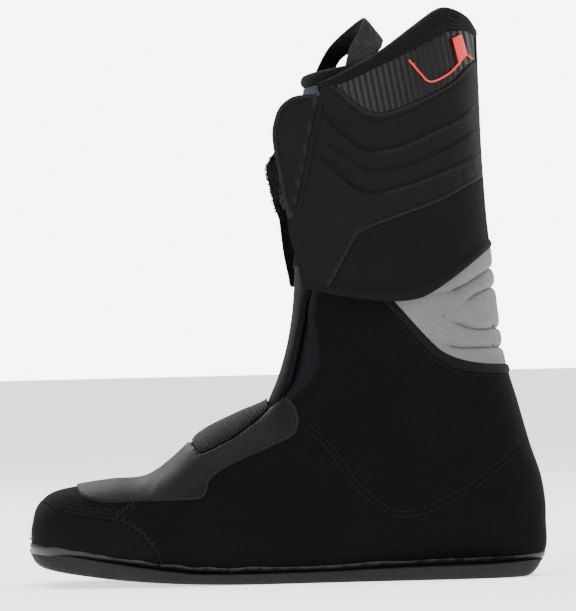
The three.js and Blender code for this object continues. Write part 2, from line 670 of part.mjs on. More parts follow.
// Front and back edge of the webbing, from its inner end over the crest to its outer end. The third
// number is the height above the top of the tongue's roll, where the webbing is sewn on.
const rollTop = (y) => tongueTop.z + tongueRollHeight + tongueTop.climb * (y - tongueTop.y);
const webbing = [
  [[-20, 22.5, 1.1], [-30, 33, 1]],
  [[-18, 30, 13.1], [-26, 38, 6.8]],
  [[-9, 41.6, 21.7], [-15, 49, 9.6]],
  [[2, 49.4, 24.9], [3, 58.6, 10.6]],
  [[14, 46, 17.5], [15, 59, 8.2]],
  [[24, 41, 9.3], [25, 57.5, 5.2]],
  [[29.5, 38.4, 1.1], [29.5, 52, 1]],
].map((pair) => pair.map(([x, y, rise]) => (
  new THREE.Vector3(x * widthScale, y * lengthScale, rollTop(y * lengthScale) + rise)
)));

function ribbon(pairs, thickness) {
  const middles = pairs.map(([a, b]) => a.clone().add(b).multiplyScalar(0.5));
  return toSolid(skinRings(pairs.map(([a, b], i) => {
    const along = middles[Math.min(i + 1, pairs.length - 1)].clone().sub(middles[Math.max(i - 1, 0)]);
    const out = along.cross(b.clone().sub(a)).normalize().multiplyScalar(thickness / 2);
    return [
      a.clone().sub(out), b.clone().sub(out), b.clone().add(out), a.clone().add(out),
    ].map((v) => v.toArray());
  })));
}
add("pull_loop", ribbon(webbing, webbingThickness), "webbing");

export default liner;
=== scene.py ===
# %% [markdown]
# # Inner boot of a ski boot
#
# The padded inner boot stands on its own sole. It is sewn from thin cloth laminated on foam, so almost
# every piece is a panel that lies on one rounded form. We make two forms, one for the foot and one for
# the cuff round the leg, cut the seams into them, and lift each panel off its form by its own thickness.

# %% Start from the finished solids
import json
import math
import random

import bmesh
import bpy
import numpy as np
from mathutils import Matrix, Vector
from mathutils.bvhtree import BVHTree

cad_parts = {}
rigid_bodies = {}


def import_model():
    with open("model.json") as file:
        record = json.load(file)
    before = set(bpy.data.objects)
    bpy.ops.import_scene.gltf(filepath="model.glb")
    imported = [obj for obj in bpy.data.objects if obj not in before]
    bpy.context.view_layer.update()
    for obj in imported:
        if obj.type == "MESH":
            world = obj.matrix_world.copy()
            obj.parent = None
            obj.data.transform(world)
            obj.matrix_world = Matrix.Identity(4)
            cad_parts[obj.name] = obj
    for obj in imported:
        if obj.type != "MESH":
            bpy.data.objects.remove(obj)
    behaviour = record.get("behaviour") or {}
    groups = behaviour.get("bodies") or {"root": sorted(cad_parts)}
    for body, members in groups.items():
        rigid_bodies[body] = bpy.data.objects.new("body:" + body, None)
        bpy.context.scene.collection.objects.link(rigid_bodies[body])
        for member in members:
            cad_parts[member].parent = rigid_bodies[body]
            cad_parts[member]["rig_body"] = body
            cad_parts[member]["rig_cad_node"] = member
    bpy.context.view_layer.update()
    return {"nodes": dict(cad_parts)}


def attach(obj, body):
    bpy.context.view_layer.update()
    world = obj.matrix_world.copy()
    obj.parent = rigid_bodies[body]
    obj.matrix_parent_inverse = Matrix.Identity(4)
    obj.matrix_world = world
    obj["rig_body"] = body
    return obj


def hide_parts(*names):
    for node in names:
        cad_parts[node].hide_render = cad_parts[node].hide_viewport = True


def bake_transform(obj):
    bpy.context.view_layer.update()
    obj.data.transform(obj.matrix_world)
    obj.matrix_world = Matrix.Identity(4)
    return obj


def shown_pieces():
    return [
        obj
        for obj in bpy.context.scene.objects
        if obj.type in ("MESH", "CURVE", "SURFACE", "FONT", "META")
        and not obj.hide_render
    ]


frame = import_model()
MM = 0.001

# %% [markdown]
# ## Camera, light and floor
# The boot is nearly all black, so the light has to draw its shape. Large soft panels from above and
# from both sides give the long pale edges that a light tent gives, on a plain pale floor.

# %% Camera square to the outer side of the boot
VIEW_ROLL = math.radians(1.34)
LOOK_AT = Vector((0, 3.9, 151.2)) * MM
DISTANCE = 3.0
VIEW_HEIGHT = 336.05 * MM
SENSOR = 36.0

camera = bpy.data.objects.new("camera", bpy.data.cameras.new("camera"))
bpy.context.scene.collection.objects.link(camera)
right = Vector((0, math.cos(VIEW_ROLL), -math.sin(VIEW_ROLL)))
up = Vector((0, math.sin(VIEW_ROLL), math.cos(VIEW_ROLL)))
back = right.cross(up)
turn = Matrix((right, up, back)).transposed().to_4x4()
camera.matrix_world = Matrix.Translation(LOOK_AT + back * DISTANCE) @ turn
camera.data.lens = SENSOR * DISTANCE / VIEW_HEIGHT
camera.data.clip_end = 20
bpy.context.scene.camera = camera
print("lens", round(camera.data.lens, 1))


# %% Soft light panels
def light_panel(name, place, target, size, power):
    lamp = bpy.data.lights.new(name, "AREA")
    lamp.shape = "RECTANGLE"
    lamp.size, lamp.size_y = size
    lamp.energy = power
    holder = bpy.data.objects.new(name, lamp)
    bpy.context.scene.collection.objects.link(holder)
    holder.location = place
    holder.rotation_euler = (Vector(target) - Vector(place)).to_track_quat("-Z", "Y").to_euler()


BOOT_MIDDLE = (0, 0, 0.15)
light_panel("light_top", (0.5, -0.1, 1.5), BOOT_MIDDLE, (1.2, 1.2), 24)
light_panel("light_toe", (1.0, -1.2, 0.7), BOOT_MIDDLE, (0.9, 1.2), 12)
light_panel("light_heel", (0.9, 1.3, 0.6), BOOT_MIDDLE, (0.7, 1.2), 10)
light_panel("light_inner_side", (-1.2, -0.6, 1.1), BOOT_MIDDLE, (1.0, 1.0), 16)
light_panel("light_behind", (-0.9, 1.2, 0.9), BOOT_MIDDLE, (1.0, 1.0), 12)

SKY = 0.75
world = bpy.data.worlds.new("studio")
world.use_nodes = True
world.node_tree.nodes["Background"].inputs["Color"].default_value = (1, 1, 1, 1)
world.node_tree.nodes["Background"].inputs["Strength"].default_value = SKY
bpy.context.scene.world = world

# %% [markdown]
# ## Finishes
# Every finish is a small sum written in shader nodes. A socket of the shader is wrapped in a class that
# knows plus, minus and times, so that a weave can be written as a formula over the object's own
# coordinates, in metres.


# %% Shader maths
class Socket:
    def __init__(self, tree, output):
        self.tree, self.output = tree, output

    def _math(self, kind, *others):
        node = self.tree.nodes.new("ShaderNodeMath")
        node.operation = kind
        for slot, value in zip(node.inputs, (self, *others)):
            plug(self.tree, slot, value)
        return Socket(self.tree, node.outputs[0])

    def __add__(self, other): return self._math("ADD", other)
    def __radd__(self, other): return self._math("ADD", other)
    def __sub__(self, other): return self._math("SUBTRACT", other)
    def __rsub__(self, other): return (self * -1) + other
    def __mul__(self, other): return self._math("MULTIPLY", other)
    def __rmul__(self, other): return self._math("MULTIPLY", other)
    def __truediv__(self, other): return self._math("DIVIDE", other)
    def sin(self): return self._math("SINE")
    def abs(self): return self._math("ABSOLUTE")
    def power(self, other): return self._math("POWER", other)
    def wrap(self, step): return self._math("MODULO", step)
    def above(self, other): return self._math("GREATER_THAN", other)
    def least(self, other): return self._math("MINIMUM", other)
    def most(self, other): return self._math("MAXIMUM", other)


def plug(tree, slot, value):
    if isinstance(value, Socket):
        tree.links.new(value.output, slot)
    elif value is not None:
        slot.default_value = value


def node(tree, kind, output=0, settings=(), **inputs):
    """Adds any other node. Inputs are named with an underscore for each space."""
    made = tree.nodes.new(kind)
    for key, value in dict(settings).items():
        setattr(made, key, value)
    for key, value in inputs.items():
        plug(tree, made.inputs[key.replace("_", " ")], value)
    return Socket(tree, made.outputs[output])


def place(tree):
    """The place in the piece in metres, whole and as its three parts."""
    coords = node(tree, "ShaderNodeTexCoord", output=3)
    split = tree.nodes.new("ShaderNodeSeparateXYZ")
    tree.links.new(coords.output, split.inputs[0])
    return (coords, *(Socket(tree, out) for out in split.outputs))


def noise(tree, coords, size, detail=2.0, roughness=0.5):
    """Cloudy noise from 0 to 1 whose spots are about size metres wide."""
    return node(tree, "ShaderNodeTexNoise", Vector=coords, Scale=1 / size, Detail=detail,
                Roughness=roughness)


def mix_color(tree, amount, first, second):
    made = tree.nodes.new("ShaderNodeMix")
    made.data_type = "RGBA"
    plug(tree, made.inputs["Factor"], amount)
    plug(tree, made.inputs[6], first)
    plug(tree, made.inputs[7], second)
    return Socket(tree, made.outputs[2])


def tone(level, tint=(1, 1, 1)):
    """A colour from a 0 to 255 screen level, as the linear value that a shader wants."""
    linear = []
    for part in tint:
        screen = level * part / 255
        linear.append(screen / 12.92 if screen <= 0.04045 else ((screen + 0.055) / 1.055) ** 2.4)
    return (*linear, 1)


SHEEN_ROUGHNESS = 0.4
HIGHLIGHT_SHARE = 0.85  # how far the strongest painted highlight goes towards its pale tone


def finish(name, pattern, sheen=0.0, specular=0.5, painted_highlight=0):
    """A material. Its pattern gives colour, roughness, height and how deep the height is in metres."""
    made = bpy.data.materials.new(name)
    made.use_nodes = True
    tree = made.node_tree
    shader = tree.nodes["Principled BSDF"]
    color, rough, height, depth = pattern(tree, *place(tree))
    # Painted highlight: where the per-point amount is high, the colour is pulled towards a paler tone,
    # standing in for light caught on rims and chevron ledges.
    if painted_highlight:
        highlight_mask = node(tree, "ShaderNodeAttribute", output=2, settings={"attribute_name": "painted_highlight"})
        color = mix_color(tree, (highlight_mask * HIGHLIGHT_SHARE).least(1), color, tone(painted_highlight))
    plug(tree, shader.inputs["Base Color"], color)
    plug(tree, shader.inputs["Roughness"], rough)
    shader.inputs["Sheen Weight"].default_value = sheen
    shader.inputs["Sheen Roughness"].default_value = SHEEN_ROUGHNESS
    shader.inputs["Specular IOR Level"].default_value = specular
    bump = tree.nodes.new("ShaderNodeBump")
    bump.inputs["Distance"].default_value = depth
    bump.inputs["Strength"].default_value = 1.0
    plug(tree, bump.inputs["Height"], height)
    tree.links.new(bump.outputs["Normal"], shader.inputs["Normal"])
    return made


TURN = 2 * math.pi


def waves(value, period):
    """Smooth ridges from 0 to 1, one for each period."""
    return (value * (TURN / period)).sin() * 0.5 + 0.5


# %% [markdown]
# ### Cloths
# Neoprene is foam with a fine knit face: short rows of loops, under half a millimetre apart, and a soft
# bloom of loose fibre that lightens it at grazing angles. Twill shows slanting ribs. The binding tapes
# are grosgrain, with ribs across. The same few formulas make all of them, with their own sizes.


# %% Knit, twill and tape
def knit(dark, light, row=0.9 * MM, fuzz=0.35, tint=(1, 1, 1), depth=0.12 * MM, rough=0.8):
    def pattern(tree, coords, x, y, z):
        along = y + x
        loops = waves(z + waves(along, row) * (row * 0.3), row) * waves(along, row)
        cloud = noise(tree, coords, 35 * MM, 3.0)
        lint = noise(tree, coords, 0.6 * MM, 2.0)
        amount = (cloud * 0.6 + lint * fuzz + loops * 0.25).least(1)
        color = mix_color(tree, amount, tone(dark, tint), tone(light, tint))
        return color, (lint * 0.15 + rough), loops * 0.6 + lint * 0.5, depth
    return pattern


def twill(dark, light, rib=1.0 * MM, lean=1.0, tint=(1, 1, 1), depth=0.14 * MM, rough=0.62):
    def pattern(tree, coords, x, y, z):
        slant = z * lean + y + x
        rows = waves(slant, rib)
        cross = waves(z - y - x, rib * 0.6)
        cloud = noise(tree, coords, 28 * MM, 3.0)
        lint = noise(tree, coords, 0.8 * MM, 2.0)
        amount = (rows * 0.35 + cloud * 0.45 + lint * 0.3).least(1)
        color = mix_color(tree, amount, tone(dark, tint), tone(light, tint))
        return color, (cloud * 0.12 + rough), rows * 0.7 + cross * 0.3 + lint * 0.3, depth
    return pattern


def tape(dark, light, rib=0.8 * MM, tint=(1, 1, 1)):
    def pattern(tree, coords, x, y, z):
        rows = waves(y + z * 0.6 + x * 0.8, rib)
        lint = noise(tree, coords, 0.7 * MM, 2.0)
        color = mix_color(tree, (rows * 0.5 + lint * 0.5).least(1), tone(dark, tint), tone(light, tint))
        return color, (lint * 0.15 + 0.7), rows + lint * 0.5, 0.18 * MM
    return pattern


def spacer_knit(tree, coords, x, y, z):
    """Open spacer knit: offset rows of small bright loops over a dark ground."""
    along = y + x * 0.9
    rows = waves(z - along * 0.35, 1.5 * MM)
    loops = waves(along + z * 0.5, 1.3 * MM) * rows
    lint = noise(tree, coords, 0.7 * MM, 2.0)
    color = mix_color(tree, (loops * 0.8 + lint * 0.2).least(1), tone(2), tone(30))
    return color, (lint * 0.1 + 0.75), loops + lint * 0.2, 0.45 * MM


# Neoprene and cuff twill take a pale tone for the painted highlight on their rims and chevron ledges.
NEOPRENE = finish("neoprene", knit(3, 12), sheen=0.004, specular=0.06, painted_highlight=20)
TOE_CLOTH = finish("toe_cloth", knit(3, 14, row=1.2 * MM), sheen=0.006, specular=0.07)
BAND_KNIT = finish("band_knit", knit(5, 18, row=1.1 * MM, tint=(1, 1, 0.93)), sheen=0.006, specular=0.08)
CUFF_TWILL = finish("cuff_twill", twill(4, 17), sheen=0.004, specular=0.08, painted_highlight=34)
SPINE_TWILL = finish("spine_twill", twill(4, 18, rib=1.3 * MM), sheen=0.004, specular=0.08)
BINDING = finish("binding", tape(3, 16), sheen=0.005, specular=0.1)
ROLL_KNIT = finish("roll_knit", spacer_knit, sheen=0.004, specular=0.07)
FLEECE = finish("fleece", knit(12, 36, row=2.0 * MM, fuzz=0.9, depth=0.5 * MM, rough=0.85), sheen=0.03,
                specular=0.06)


def tongue_face(tree, coords, x, y, z):
    """Dark stretch cloth over the instep, and a paler blue-grey face up at the shin."""
    rows = waves(z + y * 0.4 + x, 1.6 * MM)
    lint = noise(tree, coords, 0.8 * MM, 2.0)
    height = ((z - 0.215) * 25).least(1).most(0)
    low = mix_color(tree, (rows * 0.4 + lint * 0.4).least(1), tone(5), tone(22, (0.9, 0.96, 1.1)))
    high = mix_color(tree, (rows * 0.4 + lint * 0.4).least(1), tone(34, (0.88, 0.98, 1.06)),
                     tone(72, (0.88, 0.98, 1.06)))
    return mix_color(tree, height, low, high), (lint * 0.15 + 0.65), rows + lint * 0.4, 0.2 * MM


TONGUE_CLOTH = finish("tongue_cloth", tongue_face, sheen=0.004, specular=0.08)
GUSSET_CLOTH = finish("gusset_cloth", tape(8, 26, rib=1.1 * MM, tint=(0.92, 0.96, 1.15)), sheen=0.01,
                      specular=0.1)
THREAD = finish("thread", tape(10, 34, rib=0.35 * MM), sheen=0.01, specular=0.15)
DARK_THREAD = finish("dark_thread", tape(1, 8, rib=0.35 * MM), specular=0.05)
print("cloths ready")

# %% [markdown]
# ### Coated, moulded and foamed finishes
# The instep wears a piece of smooth coated cloth with a leather-like grain, and a ribbed elastic beside
# it. Under the collar is a pressed panel with slanting ridges and a woven glint. The heel tendon is
# covered with pale foam that sparkles a little. The sole is rubber with a pebbled face.


# %% Coated cloth, ribs, pressed weave, foam, rubber
def coated(tree, coords, x, y, z):
    grain = node(tree, "ShaderNodeTexVoronoi", Vector=coords, Scale=1 / (0.9 * MM))
    cloud = noise(tree, coords, 22 * MM, 4.0)
    scuff = noise(tree, coords, 4 * MM, 4.0, 0.7)
    color = mix_color(tree, (cloud * 0.7 + grain * 0.3).least(1), tone(4), tone(16))
    return color, (cloud * 0.12 + scuff * 0.12 + 0.42), grain * 0.5 + cloud, 0.08 * MM


def elastic_ribs(tree, coords, x, y, z):
    ribs = waves(y + z * 0.55, 2.0 * MM)
    threads = waves(z - y * 0.55, 0.7 * MM)
    lint = noise(tree, coords, 0.7 * MM, 2.0)
    amount = (ribs * 0.6 + lint * 0.3).least(1)
    color = mix_color(tree, amount, tone(3), tone(26))
    return color, (lint * 0.1 + 0.6), ribs + threads * 0.2 + lint * 0.2, 0.35 * MM


def pressed_weave(tree, coords, x, y, z):
    across = y + z * 0.18
    ridges = waves(across, 3.4 * MM).power(1.6)
    weave = waves(z, 1.5 * MM) * waves(across, 1.7 * MM) + waves(z + 0.75 * MM, 1.5 * MM) * 0.4
    cloud = noise(tree, coords, 18 * MM, 2.0)
    fade = 1 - ((y - 0.045) * 30).least(1).most(0) * 0.6
    amount = ((ridges * 0.65 + weave * 0.3 + cloud * 0.15) * fade).least(1)
    color = mix_color(tree, amount, tone(2), tone(40))
    return color, (weave * 0.1 + 0.3), ridges + weave * 0.12, 0.5 * MM


def pale_foam(tree, coords, x, y, z):
    pores = node(tree, "ShaderNodeTexVoronoi", Vector=coords, Scale=1 / (1.1 * MM))
    glitter = noise(tree, coords, 0.5 * MM, 1.0).above(0.62)
    cloud = noise(tree, coords, 16 * MM, 3.0)
    amount = (cloud * 0.5 + glitter * 0.35 + pores * 0.2).least(1)
    color = mix_color(tree, amount, tone(72), tone(112, (1, 1.0, 0.985)))
    return color, (cloud * 0.15 + 0.52), pores * 0.6 + cloud * 0.3, 0.12 * MM


def rubber(tree, coords, x, y, z):
    pebble = node(tree, "ShaderNodeTexVoronoi", Vector=coords, Scale=1 / (1.6 * MM))
    cloud = noise(tree, coords, 14 * MM, 4.0)
    dust = noise(tree, coords, 3 * MM, 5.0, 0.7)
    color = mix_color(tree, (cloud * 0.6 + dust * 0.4).least(1), tone(10), tone(34))
    return color, (dust * 0.2 + 0.5), pebble + dust * 0.4, 0.22 * MM


def glue_line(tree, coords, x, y, z):
    blobs = noise(tree, coords, 5 * MM, 3.0)
    fine = noise(tree, coords, 1.2 * MM, 3.0)
    color = mix_color(tree, blobs, tone(6), tone(26))
    return color, (fine * 0.25 + 0.3), blobs * 0.8 + fine * 0.3, 0.35 * MM


def moulded(tree, coords, x, y, z):
    cloud = noise(tree, coords, 20 * MM, 3.0)
    grain = noise(tree, coords, 0.5 * MM, 2.0)
    color = mix_color(tree, cloud, tone(12), tone(28))
    return color, (grain * 0.15 + 0.42), grain, 0.05 * MM


def soft_foam(tree, coords, x, y, z):
    cells = node(tree, "ShaderNodeTexVoronoi", Vector=coords, Scale=1 / (0.8 * MM))
    cloud = noise(tree, coords, 18 * MM, 3.0)
    color = mix_color(tree, (cloud * 0.6 + cells * 0.4).least(1), tone(26), tone(56))
    return color, (cells * 0.1 + 0.8), cells, 0.2 * MM


def red_film(tree, coords, x, y, z):
    cloud = noise(tree, coords, 8 * MM, 3.0)
    grain = noise(tree, coords, 0.6 * MM, 2.0)
    color = mix_color(tree, cloud, tone(188, (1, 0.07, 0.06)), tone(206, (1, 0.11, 0.10)))
    return color, (grain * 0.12 + 0.4), grain, 0.03 * MM


def herringbone(tree, coords, x, y, z):
    column = (x / (3.0 * MM)).wrap(2).abs().above(1) * 2 - 1
    rows = waves(z + y * 0.3 + column * (x * 0.8), 1.3 * MM)
    lint = noise(tree, coords, 0.8 * MM, 2.0)
    color = mix_color(tree, (rows * 0.6 + lint * 0.4).least(1), tone(4), tone(30))
    return color, (lint * 0.1 + 0.6), rows + lint * 0.3, 0.3 * MM


def hook_tape(tree, coords, x, y, z):
    hooks = node(tree, "ShaderNodeTexVoronoi", Vector=coords, Scale=1 / (1.3 * MM))
    color = mix_color(tree, hooks.least(1), tone(70), tone(14))
    return color, (hooks * 0.1 + 0.45), 1 - hooks, 0.8 * MM


# Coated cloth takes a pale tone for the painted highlight on its rims.
COATED = finish("coated_cloth", coated, specular=0.09, painted_highlight=28)
GORE = finish("elastic_gore", elastic_ribs, specular=0.12)
PRESSED = finish("pressed_weave", pressed_weave, specular=0.12)
PALE_FOAM = finish("pale_foam", pale_foam, specular=0.3)
RUBBER = finish("rubber", rubber, specular=0.15)
GLUE = finish("glue_line", glue_line, specular=0.3)
MOULDED = finish("moulded_board", moulded, specular=0.3)
SOFT_FOAM = finish("soft_foam", soft_foam, specular=0.2)
RED = finish("red_film", red_film, specular=0.5)
WEBBING = finish("webbing", herringbone, sheen=0.01, specular=0.14)
HOOKS = finish("hook_tape", hook_tape, specular=0.2)
print(len(bpy.data.materials), "materials")

# %% [markdown]
# ## The two forms
# A cross-section of the foot runs from a point on its top or front line to a point on its sole or back
# line, so the sections fan round the ankle like the ribs of a shell. Each row holds those two points as
# (y, z), the half-width, a sideways shift, and how square its front and back halves are. Smooth curves
# through the rows give as many sections as a fine mesh needs.

# %% Rows of the foot and of the cuff
FOOT_ROWS = [
    (-140.3, 29.6, -140.3, 25.8, 5, -6, 2.2, 2.2),
    (-140.0, 32.2, -140.1, 22.8, 12, -6, 2.3, 2.3),
    (-139.2, 35.5, -139.4, 19.8, 21, -6, 2.4, 2.4),
    (-136.4, 44.5, -137.4, 14.5, 31, -6, 2.4, 2.4),
    (-128, 51.4, -129.6, 12.0, 41, -5.5, 2.5, 2.5),
    (-113, 54.8, -114, 9.5, 47, -4, 2.5, 2.6),
    (-95, 57.2, -95, 6.5, 50.5, -2, 2.4, 2.8),
    (-77, 58.6, -74, 3.5, 51, 0, 2.3, 2.8),
    (-63, 67, -53, 0.5, 49, 1.2, 2.2, 2.8),
    (-45, 82.2, -29, -1, 46, 2.2, 2.1, 2.8),
    (-25, 92, 0, -1, 42.5, 2.6, 2.1, 2.8),
    (-10, 98.4, 32, -1, 40.5, 2.2, 2.2, 2.8),
    (-4.5, 107, 66, 0, 39.5, 1.4, 2.4, 2.6),
    (-0.5, 117, 104, 1, 39, 0.6, 2.6, 2.4),
    (2, 126.5, 139, 9, 39, 0, 2.8, 2.3),
    (4, 135, 143, 32, 39.5, 0, 3, 2.3),
    (5.3, 143, 141.2, 53, 40.5, 0, 3, 2.3),
    (6.3, 150, 135, 73, 42, 0, 3, 2.3),
    (7, 157, 128.6, 97, 42.5, 0, 3, 2.3),
    (7.5, 164, 123.2, 117, 42.5, 0, 3, 2.3),
    (8, 172, 119.6, 145, 43, 0, 3, 2.3),
    (8.6, 181, 117.2, 172, 43.5, 0, 3, 2.4),
    (9, 190, 115.4, 190, 44, 0, 3, 2.4),
]
CUFF_ROWS = [
    (-10, 136, 121, 140, 47, 0, 4, 2.4),
    (-11, 162, 116.6, 174, 47.6, 0, 4, 2.4),
    (-12.5, 190, 114.4, 192, 48.6, 0, 4, 2.4),
    (-13, 213, 113, 213, 49.6, 0, 4, 2.4),
    (-12.5, 236, 111.9, 237, 50.6, 0, 4, 2.4),
    (-9, 256, 111.4, 260, 51.6, 0, 4, 2.4),
    (-4, 276, 110.9, 288, 52.4, 0, 4, 2.4),
    (0, 296, 110.4, 318, 53, 0, 4, 2.4),
]


def smooth_rows(rows, steps):
    """Catmull-Rom through the rows of a table."""
    rows = np.array(rows, float)
    ends = np.vstack([2 * rows[0] - rows[1], rows, 2 * rows[-1] - rows[-2]])
    made = []
    for before, a, b, after in zip(ends, ends[1:], ends[2:], ends[3:]):
        for t in np.arange(steps) / steps:
            made.append(0.5 * (2 * a + (b - before) * t + (2 * before - 5 * a + 4 * b - after) * t**2
                               + (3 * a - before - 3 * b + after) * t**3))
    return np.array(made + [rows[-1]])


def section_point(row, angle, inset):
    """A point on the rounded-square section, at an angle from the outer side towards the front."""
    fy, fz, by, bz, half, shift, front_square, back_square = row
    c, s = math.cos(angle), math.sin(angle)
    square = front_square if s > 0 else back_square
    reach = math.hypot(by - fy, bz - fz)
    a, b = max(half - inset, 1.5), max(reach / 2 - inset, 1.0)
    radius = (abs(c / a) ** square + abs(s / b) ** square) ** (-1 / square)
    depth = -radius * s
    return Vector((
        shift + radius * c,
        (fy + by) / 2 + (by - fy) / reach * depth,
        (fz + bz) / 2 + (bz - fz) / reach * depth,
    )) * MM


def pull_ring(count, put, stages, start_cap=False, end_cap=False):
    """Draws a circle and pulls it through all the stages. put(angle, stage) gives a point's new place."""
    bm = bmesh.new()
    angle = bm.verts.layers.float.new("angle")
    for v in bmesh.ops.create_circle(bm, segments=count, radius=1)["verts"]:
        v[angle] = math.atan2(v.co.y, v.co.x)
        v.co = put(v[angle], stages[0])
    edges = list(bm.edges)
    if start_cap:
        bmesh.ops.contextual_create(bm, geom=edges)
    for stage in stages[1:]:
        pulled = bmesh.ops.extrude_edge_only(bm, edges=edges)["geom"]
        edges = [g for g in pulled if isinstance(g, bmesh.types.BMEdge)]
        for v in pulled:
            if isinstance(v, bmesh.types.BMVert):
                v.co = put(v[angle], stage)
    if end_cap:
        bmesh.ops.contextual_create(bm, geom=edges)
    return bm


def build_form(rows, steps, around, inset=0.0):
    """A form pulled through its rows. The foot's form is closed at the toe."""
    bm = pull_ring(around, lambda angle, row: section_point(row, angle, inset), smooth_rows(rows, steps),
                   start_cap=rows is FOOT_ROWS)
    bmesh.ops.recalc_face_normals(bm, faces=bm.faces)
    middle = sum((v.co for v in bm.verts), Vector()) / len(bm.verts)
    outward = sum(f.normal.dot(f.calc_center_median() - middle) for f in bm.faces)
    if outward < 0:
        bmesh.ops.reverse_faces(bm, faces=bm.faces)
    bmesh.ops.bisect_plane(bm, geom=bm.verts[:] + bm.edges[:] + bm.faces[:], plane_co=(0, 0, 0),
                           plane_no=(1, 0, 0), dist=1e-6)
    return bm


foot = build_form(FOOT_ROWS, 8, 160)
cuff = build_form(CUFF_ROWS, 15, 176)
print("foot form", len(foot.faces), "faces, cuff form", len(cuff.faces))

# %% [markdown]
# ## Seam lines
# Each seam is drawn as seen square to the side of the boot, as (y, z) in millimetres, and rounded by a
# smooth curve. The form is cut along it with short cutting planes, each one only through the faces that
# it crosses, so that panels get clean edges. A second cut just inside each edge lets the panel's rim
# roll over softly.


# %% Lines and how to cut along them
def smooth_line(points, steps=4):
    return smooth_rows(points, steps) if len(points) > 2 else np.array(points, float)


def shifted(points, dy=0.0, dz=0.0):
    return [(y + dy, z + dz) for y, z in points]


def closed(*lines):
    """One closed outline from several lines in order."""
    return np.vstack([np.array(line, float) for line in lines])


def inside_of(outline, points):
    """Which of the (y, z) points lie inside the closed outline."""
    y, z = points[:, 0], points[:, 1]
    hits = np.zeros(len(points), bool)
    for (ay, az), (by, bz) in zip(outline, np.roll(outline, -1, axis=0)):
        crosses = (az > z) != (bz > z)
        if abs(bz - az) > 1e-12:
            hits ^= crosses & (y < (by - ay) * (z - az) / (bz - az) + ay)
    return hits


def ringed(line):
    """The line with its first point added again at the end, so that it closes."""
    return np.vstack([line, line[0]])


def distance_to(line, points):
    """Distance of every (y, z) point from a line, and which side of it the point lies."""
    line = np.array(line, float)
    best = np.full(len(points), 1e9)
    side = np.ones(len(points))
    for a, b in zip(line, line[1:]):
        way = b - a
        size = float(way @ way)
        if size < 1e-12:
            continue
        t = np.clip(((points - a) @ way) / size, 0, 1)
        off = points - (a + t[:, None] * way)
        far = np.hypot(off[:, 0], off[:, 1])
        closer = far < best
        best = np.where(closer, far, best)
        side = np.where(closer, np.sign(way[0] * off[:, 1] - way[1] * off[:, 0]), side)
    return best, side


def inner_line(line, inset):
    """The line moved to its left by inset."""
    line = np.array(line, float)
    way = np.vstack([line[1:], line[-1]]) - np.vstack([line[0], line[:-1]])
    size = np.maximum(np.hypot(way[:, 0], way[:, 1]), 1e-9)
    return line + np.stack([-way[:, 1] / size, way[:, 0] / size], axis=1) * inset


NEAR = 6.0  # only faces this close to a line are tried


def cut_along(bm, line):
    """Cuts the form where the line, seen from the side, crosses it."""
    points = np.array([(f.calc_center_median().y, f.calc_center_median().z) for f in bm.faces]) / MM
    far, _ = distance_to(line, points)
    faces = list(bm.faces)
    pool = {faces[i] for i in np.nonzero(far < NEAR)[0]}
    for a, b in zip(line, line[1:]):
        way = b - a
        size = float(np.hypot(*way))
        if size < 1e-6:
            continue
        ty, tz = way / size
        crossed = []
        for f in pool:
            if not f.is_valid:
                continue
            offs = [(v.co.y / MM - a[0], v.co.z / MM - a[1]) for v in f.verts]
            across = [tz * oy - ty * oz for oy, oz in offs]
            if min(across) > -1e-4 or max(across) < 1e-4:
                continue
            along = [ty * oy + tz * oz for oy, oz in offs]
            if max(along) > 0 and min(along) < size:
                crossed.append(f)
        if not crossed:
            continue
        geom = set(crossed)
        for f in crossed:
            geom.update(f.edges)
            geom.update(f.verts)
        result = bmesh.ops.bisect_plane(bm, geom=list(geom), dist=1e-7,
                                        plane_co=(0, a[0] * MM, a[1] * MM), plane_no=(0, tz, -ty))
        pool.update(g for g in result["geom"] if isinstance(g, bmesh.types.BMFace))


def cut_beside(bm, lines, insets):
    """Extra cuts on both sides of each line, for the rim of a panel or a groove."""
    for line in lines:
        for inset in insets:
            cut_along(bm, inner_line(line, inset))


def hollow(line, points, depth, width):
    """How far a soft groove along the line lowers each point."""
    far, _ = distance_to(line, points)
    return -depth * np.exp(-(far / width) ** 2)


# %% Lines of the foot
SOLE_TOP = smooth_line([
    (-146, 21.5), (-126, 19.5), (-105, 15.9), (-84, 12.2), (-63, 8.9), (-42, 6.6), (7, 6.3), (65, 7.6),
    (114, 8.3), (146, 10.3)])
SOLE_BOTTOM = smooth_line([
    (-146, 18.6), (-141, 17.4), (-136, 12.2), (-126, 9.2), (-105, 6), (-84, 3.6), (-53, 1.2),
    (-21, 0.1), (20, 0), (80, 0), (124, 0), (134, 1.4), (141, 8.2), (146, 8.6)])
TOE_SEAM = smooth_line([
    (-146, 52), (-134, 48), (-124, 42.7), (-108, 39), (-92, 36.4), (-82, 31.8), (-75, 24), (-70, 15.5),
    (-68, 5)])
VAMP_EDGE = smooth_line([
    (-92, 36.4), (-77, 49), (-62, 51), (-46, 53), (-44, 58), (-31, 69), (-6, 79), (2, 84), (4, 92),
    (0, 97), (-9, 99), (-9, 130)])
OVERLAY_LOW = smooth_line([
    (-114, 54.1), (-110, 49.3), (-102, 46.9), (-90, 46.3), (-77, 46.6), (-60, 46.9), (-46, 47.6),
    (-42, 51.8), (-40, 57.8), (-29, 65.3), (-5, 75.4), (4.4, 79.9), (8.4, 86.4), (7.5, 95.2), (3, 101)])
OVERLAY_TOP = [(-1.8, 98.7), (-7.3, 95), (-12, 90), (-27, 79.3), (-45, 71), (-51.4, 77), (-60, 84)]
OVERLAY = closed([(-114, 66)], OVERLAY_LOW, OVERLAY_TOP, [(-80, 84)])
